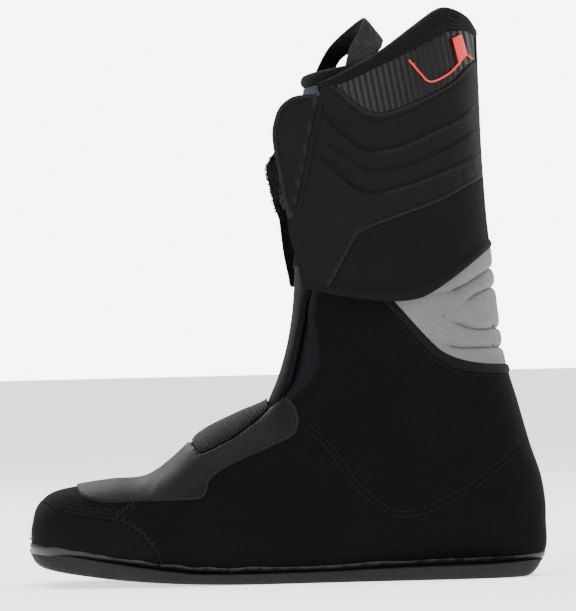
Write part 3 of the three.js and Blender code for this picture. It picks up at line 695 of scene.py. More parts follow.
GORE_EDGE = closed(smooth_line([(-51.2, 80), (-47, 73.6), (-43, 72.6), (-27, 80.8), (-12, 91.6),
                                (-8, 95.4)]), [(-9, 110), (-51, 110)])
THROAT = smooth_line([
    (1.5, 99.5), (6.7, 104.5), (11.7, 109.4), (15.7, 116.5), (16.9, 124), (16.1, 134), (14.9, 146),
    (17, 156), (19.5, 165)])
TENDON_EDGE = smooth_line([
    (56, 158), (65.4, 147.8), (76.1, 135.4), (86.9, 124.7), (97.8, 119.8), (108.7, 117.6),
    (119.7, 116.8), (135, 116.2)])
TENDON_LOW = smooth_line([
    (50, 158), (62.6, 144), (73.3, 131), (84, 120.5), (94.9, 114.6), (108.6, 112), (135, 111.2)])
HEM_LOW = smooth_line([
    (-8, 163), (12.3, 160.6), (27, 156.9), (43.5, 153.8), (60, 152.2), (73.8, 153.1), (83.8, 157.3),
    (98.9, 167.4), (110, 176), (126, 188)])
HEM_HIGH = smooth_line([
    (-8, 168), (13.5, 164.4), (27, 161), (49, 158.7), (63, 158.4), (73.9, 159.6), (82.2, 162.4),
    (99, 172.9), (114.7, 185.1), (126, 194)])

random.seed(7)
GLUE_TOP = [(y, z + 3.3 + random.uniform(-0.5, 0.6)) for y, z in smooth_line(SOLE_TOP, 1)]
GLUE_BAND = closed(shifted(SOLE_TOP, 0, -1.5), smooth_line(GLUE_TOP, 2)[::-1])

FAR = 300.0
HALVES = ((1, "lateral"), (-1, "medial"))  # the outer side of the boot and its inner side
TOE_ZONE = closed([(-FAR, -FAR), (-FAR, TOE_SEAM[0][1])], TOE_SEAM, [(TOE_SEAM[-1][0], -FAR)])
VAMP_ZONE = closed([(-FAR, TOE_SEAM[0][1])], TOE_SEAM[:17], VAMP_EDGE[1:], [(-FAR, 130)])
FOOT_SIDE = closed([(-FAR, -FAR), (-FAR, FAR), (-9, FAR), (-9, 96)], THROAT, [(48, 165)], TENDON_LOW,
                   [(FAR, 111.2), (FAR, -FAR)])
ON_SOLE = closed(shifted(SOLE_TOP, 0, -2.0), [(FAR, FAR), (-FAR, FAR)])

# %% Lines of the cuff
PANEL_LOW = smooth_line([
    (20, 150), (27.7, 162), (37, 178.2), (42.7, 187.9), (49.9, 192.2), (72, 199.9), (88.8, 206.1),
    (106.6, 215.6), (120, 224)])
PANEL_TOP = smooth_line([
    (10, 280), (24, 274), (34, 268), (46, 257.7), (55, 254.2), (65, 256.2), (82, 262.9), (96, 270.3),
    (106, 280), (120, 290)])
ROLL_LOW = smooth_line([
    (12, 264.6), (15, 265), (22.2, 266), (39, 270.3), (54, 276.8), (70, 283.3), (86, 291), (96.4, 296),
    (104, 296), (112, 294), (122, 293)])
ROLL_HIGH = smooth_line([
    (12, 268), (15, 269), (21, 270.6), (35.4, 277.2), (56.6, 287.5), (80, 302), (92.8, 309.8),
    (99, 311), (107, 307.8), (112, 301.5), (122, 299)])
CUFF_FRONT_OUTER = smooth_line([(11.8, 150), (11.8, 160.6), (9.4, 175), (5.8, 188), (4.6, 197.6)])
CUFF_FRONT_INNER = smooth_line([(6.6, 150), (6.2, 158.5), (2.3, 179), (0.3, 197.6)])
FLAP_SEAM = [(8.3, 198), (23.6, 264.8)]
FLAP_OUTER = smooth_line([
    (4.6, 198.2), (1.5, 215.8), (-2, 236.8), (-2.1, 247.8), (1.4, 258.2), (9.3, 264.2), (20.5, 265.2)])
FLAP_INNER = smooth_line([
    (0.3, 198.2), (-3, 209.3), (-6.2, 225.9), (-4, 233), (1.5, 243), (8, 256), (20.5, 265.2)])
CHEVRONS = [smooth_line(line) for line in (
    [(22.9, 257.2), (32, 247), (41.1, 238.6), (46.5, 235.1), (52, 233.6), (59.2, 234.3), (67.5, 235.8),
     (84.1, 243.1), (98.1, 249.9), (107, 257.4)],
    [(22.5, 241.8), (34.4, 232.7), (45.2, 224.7), (50.7, 222.9), (56.2, 222.8), (72.7, 226.3),
     (89.4, 233.6), (100.6, 239.9), (109, 246)],
    [(20.7, 234.1), (28.7, 226.2), (39.5, 216.1), (47.6, 211.5), (53.1, 211.1), (66.9, 213.8),
     (83.6, 219.4), (103, 227.8), (110.3, 232)],
)]
TRIM_LINE = smooth_line([
    (72.4, 282.4), (75.6, 278.5), (79.4, 274), (82, 271.2), (84.8, 270.6), (88.1, 271.6), (92, 273.7),
    (95.9, 276.4), (99.9, 280.7)])
TRIM_END = np.array([(104.8, 285.3), (107.6, 283.4)])
TRIM_TAB = closed([(96.4, 294.0), (101.4, 296.6), (104.6, 285.6), (99.8, 280.2)])
print("lines drawn")

# %% Cut every seam once into its form
for line in (TOE_SEAM, VAMP_EDGE, OVERLAY_LOW, np.array(OVERLAY_TOP), GORE_EDGE, THROAT,
             np.array([(-9, 96), (-9, 130)]), TENDON_LOW, TENDON_EDGE, np.array(shifted(SOLE_TOP, 0, -2))):
    cut_along(foot, line)
RIM = (0.9, -0.9)
STEP_RIM = (0.4, -1.1)
FLAP_RIM = (-1.2, 1.2)
cut_beside(foot, (TOE_SEAM, VAMP_EDGE, OVERLAY_LOW, TENDON_LOW), RIM)
for line in (PANEL_LOW, PANEL_TOP, ROLL_LOW, CUFF_FRONT_OUTER, CUFF_FRONT_INNER, np.array(FLAP_SEAM),
             FLAP_OUTER, FLAP_INNER, HEM_HIGH, HEM_LOW, *CHEVRONS):
    cut_along(cuff, line)
cut_beside(cuff, (PANEL_LOW, PANEL_TOP), RIM)
PANEL_ROWS = [
    smooth_line([(32.4, 266.3), (40.5, 257.0), (49.1, 251.0), (54.6, 249.8), (60.1, 250.7), (70.7, 254.3),
                 (90.2, 264.5), (104, 274)]),
    smooth_line([(27.2, 161.7), (29.9, 165.7), (35.8, 177.1), (41.6, 187.5), (45.4, 192), (52.7, 195.7),
                 (66.6, 200.4), (88.8, 208.9), (101.1, 215.2), (108, 220)]),
    np.array([(98.5, 223.5), (101.1, 215.5)]), np.array([(21.4, 241.8), (20.2, 233.8)]),
]
cut_beside(cuff, CHEVRONS, STEP_RIM)
for line in PANEL_ROWS:
    cut_along(cuff, line)
cut_beside(cuff, (FLAP_OUTER, FLAP_INNER), FLAP_RIM)
print("after cutting: foot", len(foot.faces), "cuff", len(cuff.faces))

# %% [markdown]
# ## Panels
# A panel is the part of a form inside its outline. Its points rise along the form's normals by the
# panel's own height, with a rim that rolls down to the seam, plus whatever relief it has. Last it gets
# its thickness on the inner side, so that it is a closed piece.


# %% Lift a panel off its form
def as_object(bm, name, material, body, node_names=(), slot=None, shade_angle=50):
    mesh = bpy.data.meshes.new(name)
    bm.normal_update()
    bm.to_mesh(mesh)
    bm.free()
    piece = bpy.data.objects.new(name, mesh)
    bpy.context.scene.collection.objects.link(piece)
    mesh.materials.append(material)
    mesh.shade_smooth()
    mesh.set_sharp_from_angle(angle=math.radians(shade_angle))
    if body:
        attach(piece, body)
    if node_names:
        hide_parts(*node_names)
    print(name, len(mesh.polygons), "faces")
    return piece


def side_points(verts):
    return np.array([(v.co.y, v.co.z) for v in verts]) / MM


def keep_faces(bm, *zones, side=0, without=(), spine=None):
    centres = [f.calc_center_median() for f in bm.faces]
    points = np.array([(c.y, c.z) for c in centres]) / MM
    keep = np.ones(len(points), bool)
    for zone in zones:
        keep &= inside_of(zone, points)
    for zone in without:
        keep &= ~inside_of(zone, points)
    x = np.array([c.x for c in centres]) / MM
    if side:
        keep &= x * side > 0
    if spine is not None:
        keep &= spine(x, points[:, 0])
    doomed = [f for f, kept in zip(bm.faces, keep) if not kept]
    bmesh.ops.delete(bm, geom=doomed, context="FACES")


def rounded(distance, radius):
    """A quarter-round profile: 0 at the edge, 1 from radius inwards."""
    t = np.clip(distance / radius, 0, 1)
    return np.sqrt(np.maximum(1 - (1 - t) ** 2, 0))


def thicken(bm, thickness):
    """Doubles the sheet and moves the copy inwards, with walls between the two round the edge."""
    bm.normal_update()
    inwards = bm.verts.layers.float_vector.new("inwards")
    for v in bm.verts:
        v[inwards] = -v.normal
    copied = bmesh.ops.extrude_face_region(bm, geom=bm.faces[:], use_keep_orig=True)["geom"]
    for v in copied:
        if isinstance(v, bmesh.types.BMVert):
            v.co = v.co + v[inwards] * (thickness * MM)
    bmesh.ops.recalc_face_normals(bm, faces=bm.faces)


def lifted_panel(form, name, zones, edges, material, body, slot, replaces=None, side=0, without=(),
                 height=0.0, drop=0.7, radius=0.9, thickness=1.3, relief=None, spine=None, refine=0,
                 highlight_line=None):
    bm = form.copy()
    bm.normal_update()
    keep_faces(bm, *zones, side=side, without=without, spine=spine)
    if refine:
        bmesh.ops.subdivide_edges(bm, edges=bm.edges, cuts=refine, use_grid_fill=True)
    points = side_points(bm.verts)
    rise = np.full(len(points), height)
    # Painted highlight: a pale line along the crest of each rounded rim, and along any extra line given,
    # kept per point so the finish can lighten the colour there.
    highlight_level = np.zeros(len(points)) if highlight_line is None else highlight_line(points)
    for line in edges:
        far, _ = distance_to(line, points)
        highlight_level = np.maximum(highlight_level, 0.7 * np.exp(-((far - radius) / 0.6) ** 2))
        rise = np.minimum(rise, height - drop + drop * rounded(far, radius))
    if relief is not None:
        rise = rise + relief(points, np.array([v.co.x for v in bm.verts]) / MM)
    for v, up_by in zip(bm.verts, rise):
        v.co = v.co + v.normal * (float(up_by) * MM)
    # The painted highlight amounts are stored on the points.
    highlit = bm.verts.layers.float.new("painted_highlight")
    for v, amount in zip(bm.verts, highlight_level):
        v[highlit] = float(amount)
    bmesh.ops.remove_doubles(bm, verts=bm.verts, dist=0.02 * MM)
    if thickness:
        thicken(bm, thickness)
    return as_object(bm, name, material, body, [name] if replaces is None else replaces, slot)


# %% [markdown]
# ### The foot
# The toe cap is its own piece of knit, joined to the rest by a zigzag seam. The vamp lies between the
# toe cap and the quarters, which go back round the heel. On the instep sits the coated overlay with the
# ribbed elastic let into it.

# %% Toe cap, vamp and quarters
lifted_panel(foot, "toe_box", [TOE_ZONE, ON_SOLE], [TOE_SEAM], TOE_CLOTH, "lower", "neoprene",
             drop=0.8)
lifted_panel(foot, "vamp_mesh", [VAMP_ZONE, FOOT_SIDE], [TOE_SEAM, VAMP_EDGE],
             NEOPRENE, "lower", "mesh", without=[TOE_ZONE], drop=0.5)


def heel_seams(points, x):
    """A sewn line round the heel."""
    return hollow(HEEL_V, points, 0.55, 1.1)


HEEL_V = smooth_line([
    (9.5, 86.9), (21.4, 77.3), (29.9, 66.3), (36.3, 56), (44.2, 47.3), (51.9, 41.4), (60.6, 36.8),
    (70.5, 37.1), (82.2, 40.7), (95.3, 47.1), (105.2, 52.8), (115.1, 60.4), (125.2, 69), (131.3, 76.4)])
for side, half in HALVES:
    lifted_panel(foot, f"quarter_{half}", [FOOT_SIDE, ON_SOLE], [TOE_SEAM, VAMP_EDGE],
                 NEOPRENE, "lower", "neoprene", side=side, without=[TOE_ZONE, VAMP_ZONE], drop=0.8,
                 relief=heel_seams)

# %% Overlay and gore on the instep


def creases(points, x):
    """Two shallow creases where the instep bends."""
    return (hollow(smooth_line([(-65.9, 62.3), (-70, 57), (-74.4, 51.5)]), points, 0.5, 2.0)
            + hollow(smooth_line([(-58, 66), (-63, 60), (-67, 52)]), points, 0.3, 2.0))


lifted_panel(foot, "vamp_overlay", [OVERLAY], [OVERLAY_LOW, np.array(OVERLAY_TOP)],
             COATED, "lower", "polyurethane", height=1.2, drop=1.0, radius=0.9, thickness=1.0,
             relief=creases)


def gore_relief(points, x):
    far, _ = distance_to(ringed(GORE_EDGE), points)
    return 0.9 * rounded(far, 7.0) - 0.3


lifted_panel(foot, "instep_gore", [GORE_EDGE], [], GORE, "lower", "knit", height=1.0, thickness=1.0,
             relief=gore_relief, refine=1)

# %% [markdown]
# ### Sole, glue line and footbed
# The sole is one moulded slab whose side rolls under. It is drawn as a ring round the foot and pulled
# through a few levels, in from the rim to the middle line.

# %% Slab pulled through its levels
SOLE_PLAN = smooth_rows([
    (-141.6, 6, -6), (-139, 19, -6), (-133, 31, -5.8), (-122, 40, -5), (-104, 46.5, -3),
    (-82, 48.8, -0.5), (-62, 47, 1), (-42, 42.5, 2), (-20, 38.5, 2.6), (5, 36, 2.6), (35, 34.8, 1.8),
    (70, 34.5, 1), (98, 33.5, 0.2), (118, 29.5, 0), (131, 22, 0), (138, 13, 0), (140.8, 5, 0)], 6)


def slab(name, material, levels, slot, around=220):
    """levels: (inset, height of that level at y). The ring shrinks to the middle line at both ends."""
    toe_end, heel_end = SOLE_PLAN[0][0], SOLE_PLAN[-1][0]

    def put(angle, stage):
        inset, level = stage
        along = 0.5 - 0.5 * math.cos(angle)
        y = toe_end + (heel_end - toe_end) * along
        half = np.interp(y, SOLE_PLAN[:, 0], SOLE_PLAN[:, 1]) * min(1, 14 * math.sqrt(along * (1 - along)))
        shift = np.interp(y, SOLE_PLAN[:, 0], SOLE_PLAN[:, 2])
        across = math.copysign(max(half - inset, 0), math.sin(angle))
        if abs(math.sin(angle)) < 1e-6:
            across = 0
        slim = y * (1 - min(inset, 12) / 142)
        return Vector((shift + across, slim, level(slim))) * MM

    bm = pull_ring(around, put, levels)
    bmesh.ops.remove_doubles(bm, verts=bm.verts, dist=0.01 * MM)
    bmesh.ops.recalc_face_normals(bm, faces=bm.faces)
    return as_object(bm, name, material, "lower", [name], slot, shade_angle=40)


def level_of(line, rise=0.0):
    return lambda y: float(np.interp(y, line[:, 0], line[:, 1])) + rise


def tread(rise):
    return level_of(SOLE_BOTTOM, rise)


seat = level_of(SOLE_TOP, -0.3)
slab("outsole", RUBBER, [
    (60, tread(0.0)), (30, tread(0.0)), (14, tread(0.0)), (9, tread(0.0)), (8.5, tread(0.9)),
    (7.5, tread(0.9)),
    (7, tread(0.0)), (3.0, tread(0.0)), (1.4, tread(0.25)), (0.5, tread(0.9)), (0.1, tread(1.8)),
    (0, tread(2.6)), (0, lambda y: seat(y) - 1.4), (0.3, lambda y: seat(y) - 0.4), (1.0, seat), (14, seat),
    (60, seat),
], "sole")
footbed_top = level_of(SOLE_TOP, 7.3)
slab("footbed", SOFT_FOAM, [
    (60, level_of(SOLE_TOP, 2.4)), (12, level_of(SOLE_TOP, 2.4)), (8.2, level_of(SOLE_TOP, 2.6)),
    (7.4, level_of(SOLE_TOP, 4.5)), (8.4, footbed_top), (14, footbed_top), (60, level_of(SOLE_TOP, 6.9)),
], "foam")

# %% Glue line round the foot of the upper
band_form = foot.copy()
cut_along(band_form, ringed(GLUE_BAND))
lifted_panel(band_form, "sole_rand", [GLUE_BAND], [GLUE_BAND[len(SOLE_TOP):]], GLUE, "lower",
             "glue", height=0.9, drop=0.8, radius=1.2, thickness=0.8)
band_form.free()

# %% [markdown]
# ### Pale foam over the heel tendon
# This window of soft foam lets the boot bend. Its grooves run in from the back and fade out, and between
# them the foam swells. It joins the foot to the cuff.

# %% Grooved foam
GROOVES = [smooth_line(line) for line in (
    [(80.8, 156), (92.5, 157), (102.3, 160.7), (114, 167.5), (124, 173)],
    [(90, 146.4), (97, 148.2), (106.8, 154.4), (118.2, 159), (128, 162)],
    [(83, 146.2), (91.2, 142), (99.5, 138.2), (107.5, 136.1), (117.2, 136.4), (130, 136.8)],
    [(79.3, 132.6), (87.5, 129), (96.3, 126.4), (110, 126.2), (119.9, 126.2), (130, 126)],
)]
FLEX_ZONE = closed(shifted(TENDON_EDGE, 0, -3.0)[1:], shifted(HEM_LOW[20:], 0, 3.5)[::-1])
flex_form = foot.copy()
cut_along(flex_form, ringed(FLEX_ZONE))
for groove in GROOVES:
    cut_along(flex_form, groove)


def foam_relief(points, x):
    nearest = np.full(len(points), 1e9)
    for groove in GROOVES:
        far, _ = distance_to(groove, points)
        start = np.clip((points[:, 0] - groove[0][0]) / 14, 0, 1)
        nearest = np.minimum(nearest, far + 4 * (1 - start))
    return 2.4 * rounded(nearest, 5.0) - 2.3


flex = lifted_panel(flex_form, "achilles_flex_panel",
                    [FLEX_ZONE, closed([(62, 0), (FAR, 0), (FAR, FAR), (62, FAR)])], [], PALE_FOAM,
                    None, "grey_foam", height=-0.4, thickness=4.0, relief=foam_relief, refine=1)
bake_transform(flex)
flex_form.free()

# %% [markdown]
# ### Rolled edges
# The throat, the tendon window, the cuff's hem and its top are closed with tapes folded over the edge.
# Those of the throat, the tendon window and the hem are made on the forms as narrow bands with a
# half-round section.


# %% Bands with a half-round section
def band(form, name, zone, outer, width, material, body, slot, replaces=None, side=0,
         height=1.3, thickness=2.4, also=()):
    bm = form.copy()
    cut_along(bm, ringed(zone))
    for inset in (0.12, 0.35):
        cut_along(bm, inner_line(outer[0], width * inset))
        cut_along(bm, inner_line(outer[1], -width * inset))
    made = lifted_panel(bm, name, [zone, *also], [outer[0], outer[1]], material, body,
                        slot, replaces, side=side, height=height, drop=height + 0.4, radius=width / 2,
                        thickness=thickness)
    bm.free()
    return made


hem_zone = closed(HEM_LOW, HEM_HIGH[::-1])
CUFF_SIDE = {side: closed(front, [(8.3, 198), (24, 266), (30, 300), (FAR, 400), (FAR, 150)])
             for side, front in ((1, CUFF_FRONT_OUTER), (-1, CUFF_FRONT_INNER))}
for side, half in HALVES:
    band(cuff, f"cuff_hem_binding_{half}", hem_zone, (HEM_LOW, HEM_HIGH), 5.4, BINDING, "cuff",
         "binding", replaces=["cuff_hem_binding"] if side > 0 else [], side=side,
         also=[CUFF_SIDE[side]], height=1.2)
window_zone = closed(TENDON_LOW, TENDON_EDGE[::-1])
band(foot, "lower_collar_binding", window_zone, (TENDON_LOW, TENDON_EDGE), 5.2, BINDING, "lower",
     "binding", height=1.0, thickness=4.0)
throat_outer = np.array(shifted(THROAT, -0.6))
throat_inner = np.array(shifted(THROAT, 4.0))
throat_zone = closed(throat_outer, throat_inner[::-1])
for side, half in HALVES:
    band(foot, f"throat_binding_{half}", throat_zone, (throat_inner, throat_outer), 4.6, BINDING,
         "lower", "binding", side=side, height=0.8, thickness=2.2)

# %% [markdown]
# ### The cuff
# Soft knit below, a panel pressed with three chevron steps in the middle, and a ribbed panel under the
# collar. A strip of twill closes the back.


# %% Cuff panels
def chevron_steps(points, x):
    """Each step stands up sharply below its line and fades away downwards, with a groove on the line."""
    made = np.zeros(len(points))
    for line, depth in zip(CHEVRONS, (1.3, 0.9, 1.3)):
        far, side = distance_to(line, points)
        below = -far * side
        ends = np.clip(np.minimum(points[:, 0] - line[0][0], line[-1][0] - points[:, 0]) / 5 + 0.2, 0, 1)
        made += ends * (depth * np.where(below < 0, 0, np.clip(below / 1.1, 0, 1)
                                         * np.clip(1 - below / 12, 0, 1) ** 1.3)
                        - 0.45 * np.exp(-((below + 0.4) / 0.55) ** 2))
    for row in PANEL_ROWS:
        made += hollow(row, points, 0.5, 0.7)
    return made


# Painted highlight: a pale line on the raised ledge just below the first and third chevron lines, over
# their rear half, where light catches the step.
def chevron_highlight(points):
    highlit = np.zeros(len(points))
    for line in CHEVRONS[::2]:
        far, side = distance_to(line, points)
        rear_half = np.clip((points[:, 0] - 50) / 12, 0, 1)
        highlit = np.maximum(highlit, rear_half * np.exp(-((far * side + 0.7) / 0.5) ** 2))
    return highlit


def off_spine(x, y):
    return (np.abs(x) > 13) | (y < 70)


def on_spine(x, y):
    return (np.abs(x) <= 13) & (y >= 70)


for x_cut in (13, -13):
    bmesh.ops.bisect_plane(cuff, geom=cuff.verts[:] + cuff.edges[:] + cuff.faces[:], dist=1e-7,
                           plane_co=(x_cut * MM, 0, 0), plane_no=(1, 0, 0))
UNDER_ROLL = closed([(-FAR, 0), (-FAR, 262)], shifted(ROLL_LOW, 0, 2.5), [(FAR, 296), (FAR, 0)])
OVER_HEM = closed(shifted(HEM_HIGH, 0, -1.5), [(FAR, 190), (FAR, 400), (-FAR, 400)])
LOW_BAND = closed(PANEL_LOW, [(FAR, 224), (FAR, 0), (20, 0)])
ABOVE_PANEL = closed(PANEL_TOP, [(FAR, 290), (FAR, 400), (-FAR, 400), (-FAR, 280)])
for side, half in HALVES:
    shared = dict(side=side, spine=off_spine, body="cuff")
    lifted_panel(cuff, f"cuff_lower_band_{half}", [CUFF_SIDE[side], OVER_HEM, LOW_BAND, UNDER_ROLL],
                 [PANEL_LOW], BAND_KNIT, slot="knit", drop=0.4, **shared)
    lifted_panel(cuff, f"collar_side_panel_{half}", [CUFF_SIDE[side], ABOVE_PANEL, UNDER_ROLL],
                 [PANEL_TOP], PRESSED, slot="carbon", height=-0.5, drop=0.2, **shared)
    # The cuff panel gets the painted chevron highlight as well as the chevron relief.
    lifted_panel(cuff, f"cuff_panel_{half}", [CUFF_SIDE[side], OVER_HEM, UNDER_ROLL],
                 [PANEL_LOW, PANEL_TOP], CUFF_TWILL, slot="twill",
                 without=[LOW_BAND, ABOVE_PANEL], height=0.35, drop=0.6, radius=1.1,
                 relief=chevron_steps, highlight_line=chevron_highlight, **shared)
lifted_panel(cuff, "cuff_spine", [CUFF_SIDE[1], OVER_HEM, UNDER_ROLL], [], SPINE_TWILL, "cuff", "twill",
             spine=on_spine, height=0.2, thickness=1.6)

# %% Front flaps
FLAP_EDGES = {1: FLAP_OUTER, -1: FLAP_INNER}
FLAP_BODY = {1: "outer_flap", -1: "inner_flap"}
FLAP_STITCH = smooth_line([
    (21.9, 264.2), (15.8, 262.2), (10.3, 259.8), (4.7, 256.3), (2.4, 253.2), (1.2, 248.9), (0.5, 242.3),
    (1.8, 228.5), (3.3, 220.2), (5.2, 210.3), (7.7, 199.2)])


def stitch_hollow(points, x):
    return hollow(FLAP_STITCH, points, 0.5, 1.0)


for side, half in HALVES:
    lifted_panel(cuff, f"flap_{half}", [closed(FLAP_SEAM[::-1], FLAP_EDGES[side])],
                 [FLAP_EDGES[side], FLAP_SEAM], CUFF_TWILL, FLAP_BODY[side], "twill",
                 side=side, height=0.9, drop=0.8, radius=1.3, thickness=2.6,
                 relief=stitch_hollow if side > 0 else None)

LOOP_OUTLINE = np.array([(8, 214), (4, 226), (3, 246), (9, 256), (17, 256), (16, 240), (12, 222)])
patch_form = cuff.copy()
cut_along(patch_form, ringed(LOOP_OUTLINE))
lifted_panel(patch_form, "loop_patch", [LOOP_OUTLINE], [], ROLL_KNIT, "outer_flap", "knit", side=1,
             height=-1.8, thickness=1.0)
patch_form.free()

# %% Hook tape along the edge of the inner flap
random.seed(11)
bm = bmesh.new()
flap_tree = BVHTree.FromBMesh(cuff)
for y, z in smooth_line(FLAP_INNER[2:14], 6):
    for row in range(3):
        spot = Vector((-0.2, (y + 0.3 + row * 1.1 + random.uniform(-0.3, 0.3)) * MM,
                       (z + random.uniform(-0.5, 0.5)) * MM))
        hit, normal, _, _ = flap_tree.ray_cast(spot, Vector((1, 0, 0)))
        if hit is None:
            continue
        lean = (normal + Vector([random.uniform(-0.4, 0.4) for _ in range(3)])).normalized()
        grow = random.uniform(0.8, 1.3)
        bmesh.ops.create_cone(bm, cap_ends=True, segments=5, radius1=0.45 * MM, radius2=0.28 * MM,
                              depth=1.5 * grow * MM, matrix=Matrix.Translation(hit + lean * (0.9 * MM))
                              @ lean.to_track_quat("Z", "Y").to_matrix().to_4x4())
as_object(bm, "hook_edge", HOOKS, "inner_flap", (), "hook")

# %% Red line and tab under the collar
trim_form = cuff.copy()
TRIM = closed(inner_line(TRIM_LINE, 0.45), inner_line(TRIM_LINE, -0.45)[::-1])
TRIM_TAIL = closed(inner_line(TRIM_END, 0.45), inner_line(TRIM_END, -0.45)[::-1])
for outline in (TRIM, TRIM_TAIL, TRIM_TAB):
    cut_along(trim_form, ringed(outline))
for side, half in HALVES:
    lifted_panel(trim_form, f"collar_trim_{half}", [TRIM], [], RED, "cuff", "red", side=side,
                 height=0.35, thickness=0.7)
    lifted_panel(trim_form, f"collar_trim_tail_{half}", [TRIM_TAIL], [], RED, "cuff", "red",
                 replaces=[], side=side, height=0.35, thickness=0.7)
    lifted_panel(trim_form, f"collar_tab_{half}", [TRIM_TAB], [ringed(TRIM_TAB)], RED, "cuff", "red",
                 side=side, height=0.7, drop=0.3, radius=0.6, thickness=1.0)
trim_form.free()

# %% [markdown]
# ### Padded collar
# The top of the cuff is a fat roll of foam in knit. It is a tube whose section grows towards the back,
# pulled round the leg along the top of the cuff's form.


# %% Sections round the leg
CUFF_FINE = smooth_rows(CUFF_ROWS, 12)


def cuff_column(angle, inset):
    """The form's points up one side of the leg at this angle."""
    return np.array([section_point(row, angle, inset)[:] for row in CUFF_FINE]) / MM


def on_column(column, z):
    return np.array([np.interp(z, column[:, 2], column[:, i]) for i in range(3)])


def tube(name, stations, section, material, body, slot, count=28):
    """Pulls a rounded section along stations (middle, sideways, upwards, half-width, half-height)."""
    def put(angle, station):
        middle, sideways, upwards, wide, tall = station
        c, s = math.cos(angle), math.sin(angle)
        power = 2 / section
        along = math.copysign(abs(c) ** power, c) * wide
        rise = math.copysign(abs(s) ** power, s) * tall
        return (Vector(middle) + Vector(sideways) * along + Vector(upwards) * rise) * MM

    bm = pull_ring(count, put, stations, start_cap=True, end_cap=True)
    bmesh.ops.recalc_face_normals(bm, faces=bm.faces)
    return as_object(bm, name, material, body, [name], slot)


ROLL_THICK = 13.0
ROLL_START = 30  # degrees forward of the outer side, where the flap seam ends
roll_stations = []
for degrees in np.linspace(ROLL_START, -180 - ROLL_START, 150):
    angle = math.radians(degrees)
    outer, inner = cuff_column(angle, -0.6), cuff_column(angle, ROLL_THICK - 0.6)
    low = on_column(outer, 285)
    for _ in range(4):
        low = on_column(outer, np.interp(low[1], ROLL_LOW[:, 0], ROLL_LOW[:, 1]))
    high = on_column(outer, low[2] + 6)
    for _ in range(4):
        high = on_column(outer, np.interp(high[1], ROLL_HIGH[:, 0], ROLL_HIGH[:, 1]))
    middle_z = (low[2] + high[2]) / 2
    out_point, in_point = on_column(outer, middle_z), on_column(inner, middle_z)
    sideways = Vector(out_point - in_point)
    ease = min(1, (ROLL_START - degrees + 3) / 12, (degrees + 180 + ROLL_START + 3) / 12)
    wide = sideways.length / 2 * max(ease, 0.25) ** 0.5
    tall = max((high[2] - low[2]) / 2, 2.2) * 1.04
    sideways.normalize()
    middle = Vector(out_point) - sideways * wide
    roll_stations.append((middle, sideways, Vector((0, 0, 1)), wide, tall))
roll = tube("collar_roll", roll_stations, 2.2, ROLL_KNIT, "cuff", "mesh", count=36)

# %% Linings
inner_cuff = build_form(CUFF_ROWS, 6, 96, inset=9.0)
LINING_ZONE = closed([(-FAR, 172), (68, 172), (84, 175), (100, 183), (116, 192), (FAR, 192)],
                     shifted(ROLL_LOW, 0, 3)[::-1], [(-FAR, 266)])
BEHIND_FLAPS = closed([(3, 150), (11.3, 198), (26.6, 265), (30, 300), (FAR, 400), (FAR, 150)])
for zone in (LINING_ZONE, BEHIND_FLAPS):
    cut_along(inner_cuff, ringed(zone))
lining = lifted_panel(inner_cuff, "cuff_lining", [LINING_ZONE, BEHIND_FLAPS], [], FLEECE, "cuff",
                      "fleece",
                      replaces=["cuff_lining", "cuff_padding_lateral", "cuff_padding_medial",
                                "rear_cuff_padding"],
                      thickness=2.0)
inner_cuff.free()
inner_foot = build_form(FOOT_ROWS, 4, 96, inset=5.4)
FOOT_ROOM = closed(shifted(SOLE_TOP, 0, 2.6), [(FAR, 111), (135, 111.2)],
                   shifted(TENDON_LOW[::-1], 0, -1), [(48, 165), (27, 165)],
                   shifted(THROAT[::-1], 7, -3), [(-9, 92), (-9, FAR), (-FAR, FAR)])
cut_along(inner_foot, ringed(FOOT_ROOM))
foot_lining = lifted_panel(inner_foot, "lower_lining", [FOOT_ROOM], [], FLEECE, "lower", "fleece",
                           replaces=["lower_lining", "forefoot_padding", "ankle_padding_lateral",
                                     "ankle_padding_medial", "heel_padding", "ankle_pad_lateral",
                                     "ankle_pad_medial", "achilles_pad"],
                           thickness=3.0)
inner_foot.free()

# %% [markdown]
# ### Tongue
# The tongue is a long padded arch in front of the shin. Its face is cloth, its back is soft lining on
# foam, its edges are bound, and its top ends in a small roll of its own.

# %% Arch sections pulled up the shin
TONGUE = smooth_rows([
    (-10.5, 93.5, 19, 7.5, 3.5, 0.25), (-7.4, 101, 21, 7, 3.5, 0.2), (-3, 111, 24, 6, 4, 0.1),
    (1.8, 126, 25.5, 4.5, 4.5, 0), (5, 141, 27, 5, 5, 0), (7, 157, 27.5, 7, 5.5, 0),
    (8.4, 178, 30, 20, 7, 0), (9.6, 205, 33.5, 30, 8, 0.05), (11, 235, 34.5, 34, 8.5, 0.1),
    (15, 270, 35, 36, 8.5, 0.16)], 6)
COVER = 1.4


def arch_point(row, turn_by, inset):
    y, z, half, wings, padding, climb = row
    behind = inset + max(wings - inset, 1.5) * (1 - math.cos(turn_by))
    return Vector(((half - inset) * math.sin(turn_by), y + behind, z + climb * behind)) * MM


def arch_piece(name, rows, outer, inner, material, replaces, slot, reach=1.0):
    """A closed arch between two depths. outer and inner are functions of the row."""
    def put(angle, row):
        c, s = math.cos(angle), math.sin(angle)
        turn_by = math.copysign(abs(c) ** 0.75, c) * math.pi / 2 * reach
        edge = 1 - abs(c) ** 6
        middle = (outer(row) + inner(row)) / 2
        thick = (inner(row) - outer(row)) / 2
        depth = middle - math.copysign(abs(s) ** 0.3, s) * thick * (0.35 + 0.65 * edge)
        return arch_point(row, turn_by, depth)

    bm = pull_ring(72, put, rows, start_cap=True, end_cap=True)
    bmesh.ops.recalc_face_normals(bm, faces=bm.faces)
    return as_object(bm, name, material, "tongue", replaces, slot)


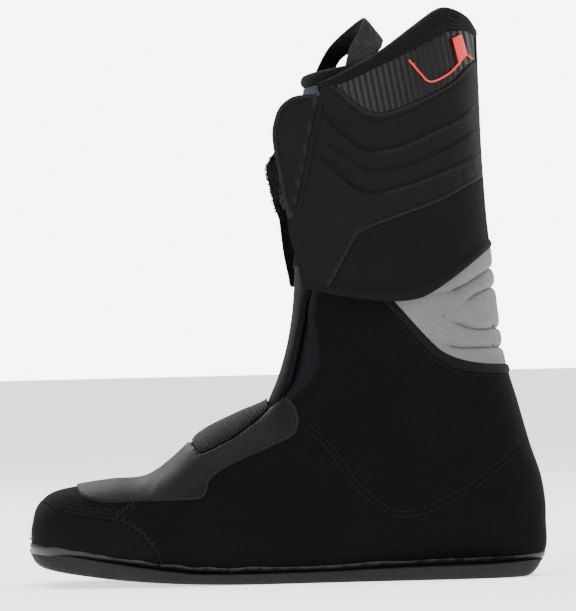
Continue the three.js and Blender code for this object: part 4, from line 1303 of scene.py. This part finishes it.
arch_piece("tongue_cover", TONGUE, lambda r: 0.0, lambda r: COVER, TONGUE_CLOTH, ["tongue_cover"],
           "tongue_cloth")
tongue_pad = arch_piece("tongue_lining", TONGUE, lambda r: 3.0, lambda r: 3.2 + r[4] + 1.3, FLEECE,
                        ["tongue_lining", "tongue_padding"], "fleece", reach=0.98)

TONGUE_TOP = TONGUE[-1]


def roll_row(rise, swell):
    y, z, half, wings, padding, climb = TONGUE_TOP
    return (y - swell, z + rise, half + swell, wings + swell, padding, climb)


top_rows = [roll_row(rise, swell) for rise, swell in (
    (0.2, -0.6), (1.0, 0.5), (2.4, 1.3), (4.2, 1.5), (6.0, 0.9), (7.2, -0.4), (7.9, -2.2), (8.2, -4.2))]
top_roll = arch_piece("tongue_top_roll", top_rows, lambda r: 0.0,
                      lambda r: 3.2 + 8.5 + 1.3 + 2 * (r[2] - TONGUE_TOP[2]), ROLL_KNIT,
                      ["tongue_top_roll"], "mesh")

# %% Bindings down the sides of the tongue
for side, half in HALVES:
    stations = []
    for y, z, width, wings, padding, climb in TONGUE:
        behind = wings + 1.4
        middle = Vector((side * (width - 1.3), y + behind, z + climb * behind))
        stations.append((middle, Vector((side, 0, 0)), Vector((0, 1, climb)).normalized(), 1.35, 1.4))
    tube(f"tongue_binding_{half}", stations, 2.6, BINDING, "tongue", "binding", count=16)

# %% Gussets between tongue and throat
GUSSET_FRONT = [(y + max(wings + 2.2, 3.2 + padding + 2.8) - 3, z + climb * wings)
                for y, z, half, wings, padding, climb in TONGUE[:31]]
GUSSET = closed([(-12, 92), (-9.5, 98), (-7, 101.5), (-4, 106)], GUSSET_FRONT[14:], [(22, 157)],
                shifted(THROAT[:26][::-1], 5), [(5, 90)])
gusset_form = build_form(FOOT_ROWS, 6, 120, inset=2.6)
cut_along(gusset_form, ringed(GUSSET))
for side, half in HALVES:
    gusset = lifted_panel(gusset_form, f"tongue_gusset_{half}", [GUSSET], [], GUSSET_CLOTH, None,
                          "gusset", side=side, thickness=1.1)
    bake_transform(gusset)
gusset_form.free()

# %% [markdown]
# ### Pull loop
# A folded length of woven webbing is sewn to the top of the tongue. It stands up in an arch because the
# weave is stiff, and its faces stay flat across while they curve along.

# %% Webbing
WEB_EDGES = smooth_rows([
    (-20.6, 21.5, -3.5, -30.6, 32, -3.5), (-20, 22.5, 1.1, -30, 33, 1), (-18, 30, 13.1, -26, 38, 6.8),
    (-9, 41.6, 21.7, -15, 49, 9.6), (2, 49.4, 24.9, 3, 58.6, 10.6), (14, 46, 17.5, 15, 59, 8.2),
    (24, 41, 9.3, 25, 57.5, 5.2), (29.5, 38.4, 1.1, 29.5, 52, 1), (30, 38, -3.5, 30, 50, -3.5)], 10)


def roll_top(y):
    return 270 + 8 + 0.16 * (y - 15)


web_stations = []
for ax, ay, a_rise, bx, by, b_rise in WEB_EDGES:
    front, rear = Vector((ax, ay, roll_top(ay) + a_rise)), Vector((bx, by, roll_top(by) + b_rise))
    web_stations.append((front, rear))
stations = []
for i, (front, rear) in enumerate(web_stations):
    ahead = web_stations[min(i + 1, len(web_stations) - 1)]
    behind = web_stations[max(i - 1, 0)]
    along = (ahead[0] + ahead[1] - behind[0] - behind[1]).normalized()
    across = (rear - front)
    out = along.cross(across).normalized()
    stations.append(((front + rear) / 2, across.normalized(), out, across.length / 2, 0.85))
loop = tube("pull_loop", stations, 3.2, WEBBING, "loop", "webbing")
loop_length = sum((b[0] - a[0]).length for a, b in zip(stations, stations[1:]))
loop_width = 2 * sum(s[3] for s in stations) / len(stations)
loop_width * MM
print("webbing", round(loop_width, 1), "by", round(loop_length, 1), "mm")

# %% [markdown]
# ## Stitching
# A stitch is a short thread that bulges in the middle and dives into the cloth at both ends. One small
# shape is laid down again and again along each seam, on the surface that a ray from the side meets.

# %% Stitches along a line
surface_names = [o.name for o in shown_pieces() if o.type == "MESH" and o.get("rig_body") in
                 ("lower", "cuff", "outer_flap") and "lining" not in o.name and "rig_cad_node" not in o]


def ray_tree(names):
    bm = bmesh.new()
    for name in names:
        bm.from_mesh(bpy.data.objects[name].data)
    tree = BVHTree.FromBMesh(bm)
    bm.free()
    return tree


OUTSIDE = ray_tree(surface_names)


def resample(line, pitch):
    line = np.array(line, float)
    steps = np.hypot(*np.diff(line, axis=0).T)
    run = np.concatenate([[0], np.cumsum(steps)])
    marks = np.arange(pitch / 2, run[-1], pitch)
    return np.stack([np.interp(marks, run, line[:, 0]), np.interp(marks, run, line[:, 1])], axis=1)


def stitches(name, lines, body, sides=(1, -1), pitch=2.6, length=1.9, thick=0.5, material=THREAD, zig=0.0):
    """Threads along the lines. With zig, they lean to one side and the other in turn."""
    bm = bmesh.new()
    for line in lines:
        marks = resample(line, pitch)
        for side in sides:
            for i in range(1, len(marks) - 1):
                way = marks[i + 1] - marks[i - 1]
                way = way / max(np.hypot(*way), 1e-6)
                spot = marks[i]
                if zig:
                    lean = 1 if i % 2 else -1
                    way = np.array([way[0] - lean * way[1] * zig, way[1] + lean * way[0] * zig])
                hit, normal, _, _ = OUTSIDE.ray_cast(Vector((side * 0.2, spot[0] * MM, spot[1] * MM)),
                                                     Vector((-side, 0, 0)))
                if hit is None or normal.x * side < 0.15:
                    continue
                along = Vector((0, way[0], way[1]))
                along = (along - normal * along.dot(normal)).normalized()
                across = normal.cross(along)
                turn_to = Matrix((along, across, normal)).transposed().to_4x4()
                size = Matrix.Diagonal((length * MM, thick * MM, thick * 0.8 * MM, 1))
                bmesh.ops.create_uvsphere(bm, u_segments=6, v_segments=4, radius=0.5,
                                          matrix=Matrix.Translation(hit) @ turn_to @ size)
    return as_object(bm, name, material, body, (), "binding")


ZIG_ONE = smooth_line([(-91.2, 38.4), (-85.7, 35.5), (-80.3, 32), (-75.4, 27), (-71.6, 20), (-69.4, 13)])
ZIG_TWO = smooth_line([(-93.9, 40.4), (-88.4, 42.4), (-83.9, 45.1), (-78, 46.6)])
TOE_ROW = smooth_line([(-126, 46.4), (-115.8, 44.0), (-107.6, 42.3), (-99.4, 41.1), (-91.2, 40.3)])
stitches("stitches_toe", [TOE_ROW, shifted(TOE_ROW, 0, 2.0)], "lower", pitch=1.2, length=2.4, thick=0.4,
         zig=1.5)
stitches("stitches_zigzag", [ZIG_ONE, ZIG_TWO], "lower", pitch=1.7, length=5.2, thick=0.42, zig=2.6)
overlay_stitch = inner_line(OVERLAY_LOW, 2.0)
gore_stitch = inner_line(GORE_EDGE[:-2], -1.6)
cross_stitch = smooth_line([(-8.0, 89.5), (-7.6, 85.1), (-6.1, 79.5)])
gore_outer_stitch = inner_line(GORE_EDGE[:-2], 1.8)
stitches("stitches_instep", [overlay_stitch, gore_stitch, gore_outer_stitch, cross_stitch], "lower",
         material=DARK_THREAD)
stitches("stitches_heel", [inner_line(HEEL_V, 1.5), inner_line(HEEL_V, -1.5)], "lower",
         thick=0.42)
throat_stitch = smooth_line([
    (17.0, 146), (18.6, 135.7), (19.8, 129.1), (20.4, 120.8), (19.3, 114.2), (16.4, 109.2),
    (11.6, 104.4), (7.9, 100.9)])
window_stitch = inner_line(TENDON_LOW, -1.2)
stitches("stitches_throat", [throat_stitch, window_stitch[4:]], "lower", pitch=2.8, length=2.0, thick=0.45)
stitches("stitches_cuff", PANEL_ROWS[:3], "cuff", material=DARK_THREAD)
front_stitch = {1: smooth_line([(8.6, 190), (10.1, 184), (12.0, 176), (13.6, 168.5)]),
                -1: smooth_line([(4.4, 192), (6.0, 180), (8.2, 168)])}
for side, half in HALVES:
    stitches(f"stitches_cuff_front_{half}", [front_stitch[side]], "cuff", sides=(side,), pitch=2.8,
             length=2.1, thick=0.55)
hinge_row = inner_line(np.array([(9.5, 200), (24.2, 263)]), -2.2)
stitches("stitches_flap_hinge", [hinge_row], "cuff", thick=0.55, material=DARK_THREAD)
stitches("stitches_flap", [FLAP_STITCH, np.array([(9.2, 201), (22.2, 261.5)])], "outer_flap", sides=(1,),
         material=DARK_THREAD)

# %% [markdown]
# ## Boards and patches that stay as they are
# The hidden boards and small patches keep their exact shapes and get their own finishes.

# %% Finishes for what stays
for name, material in (("lasting_board", MOULDED), ("heel_counter", MOULDED), ("spoiler_board", MOULDED),
                       ("shin_plate", MOULDED), ("hook_patch", HOOKS)):
    slots = frame["nodes"][name].data.materials
    slots.clear()
    slots.append(material)
left = [n for n, o in frame["nodes"].items() if not o.hide_render]
print("CAD pieces still shown:", left)

# %% [markdown]
# ## Floor and backdrop
# The boot stands on a wide pale disc under a pale dome. Both glow a little, so the background is almost
# white. The dome only shows behind the boot and adds no light of its own.

# %% Floor and dome
STAGE_RADIUS = 9.0
FLOOR_GLOW = 1.3
DOME_GLOW = 6.0


def paper(tree, coords, x, y, z):
    grain = noise(tree, coords, 2 * MM, 2.0)
    return mix_color(tree, grain, tone(240), tone(246)), grain * 0.05 + 0.9, grain, 0.02 * MM


def stage_piece(bm, name, cloth, specular, strength):
    mesh = bpy.data.meshes.new(name)
    bm.to_mesh(mesh)
    bm.free()
    piece = bpy.data.objects.new(name, mesh)
    bpy.context.scene.collection.objects.link(piece)
    material = finish(cloth, paper, specular=specular)
    shader = material.node_tree.nodes["Principled BSDF"]
    shader.inputs["Emission Color"].default_value = (1, 1, 1, 1)
    shader.inputs["Emission Strength"].default_value = strength
    mesh.materials.append(material)
    return piece


bm = bmesh.new()
bmesh.ops.create_circle(bm, cap_ends=True, segments=96, radius=STAGE_RADIUS)
stage_piece(bm, "floor", "paper", 0.1, FLOOR_GLOW)

bm = bmesh.new()
bmesh.ops.create_uvsphere(bm, u_segments=48, v_segments=24, radius=STAGE_RADIUS)
bmesh.ops.bisect_plane(bm, geom=bm.verts[:] + bm.edges[:] + bm.faces[:], plane_co=(0, 0, -0.01),
                       plane_no=(0, 0, -1), clear_outer=True)
bmesh.ops.reverse_faces(bm, faces=bm.faces)
dome = stage_piece(bm, "dome", "dome_cloth", 0.0, DOME_GLOW)
dome.data.shade_smooth()
dome.visible_diffuse = dome.visible_glossy = dome.visible_shadow = False
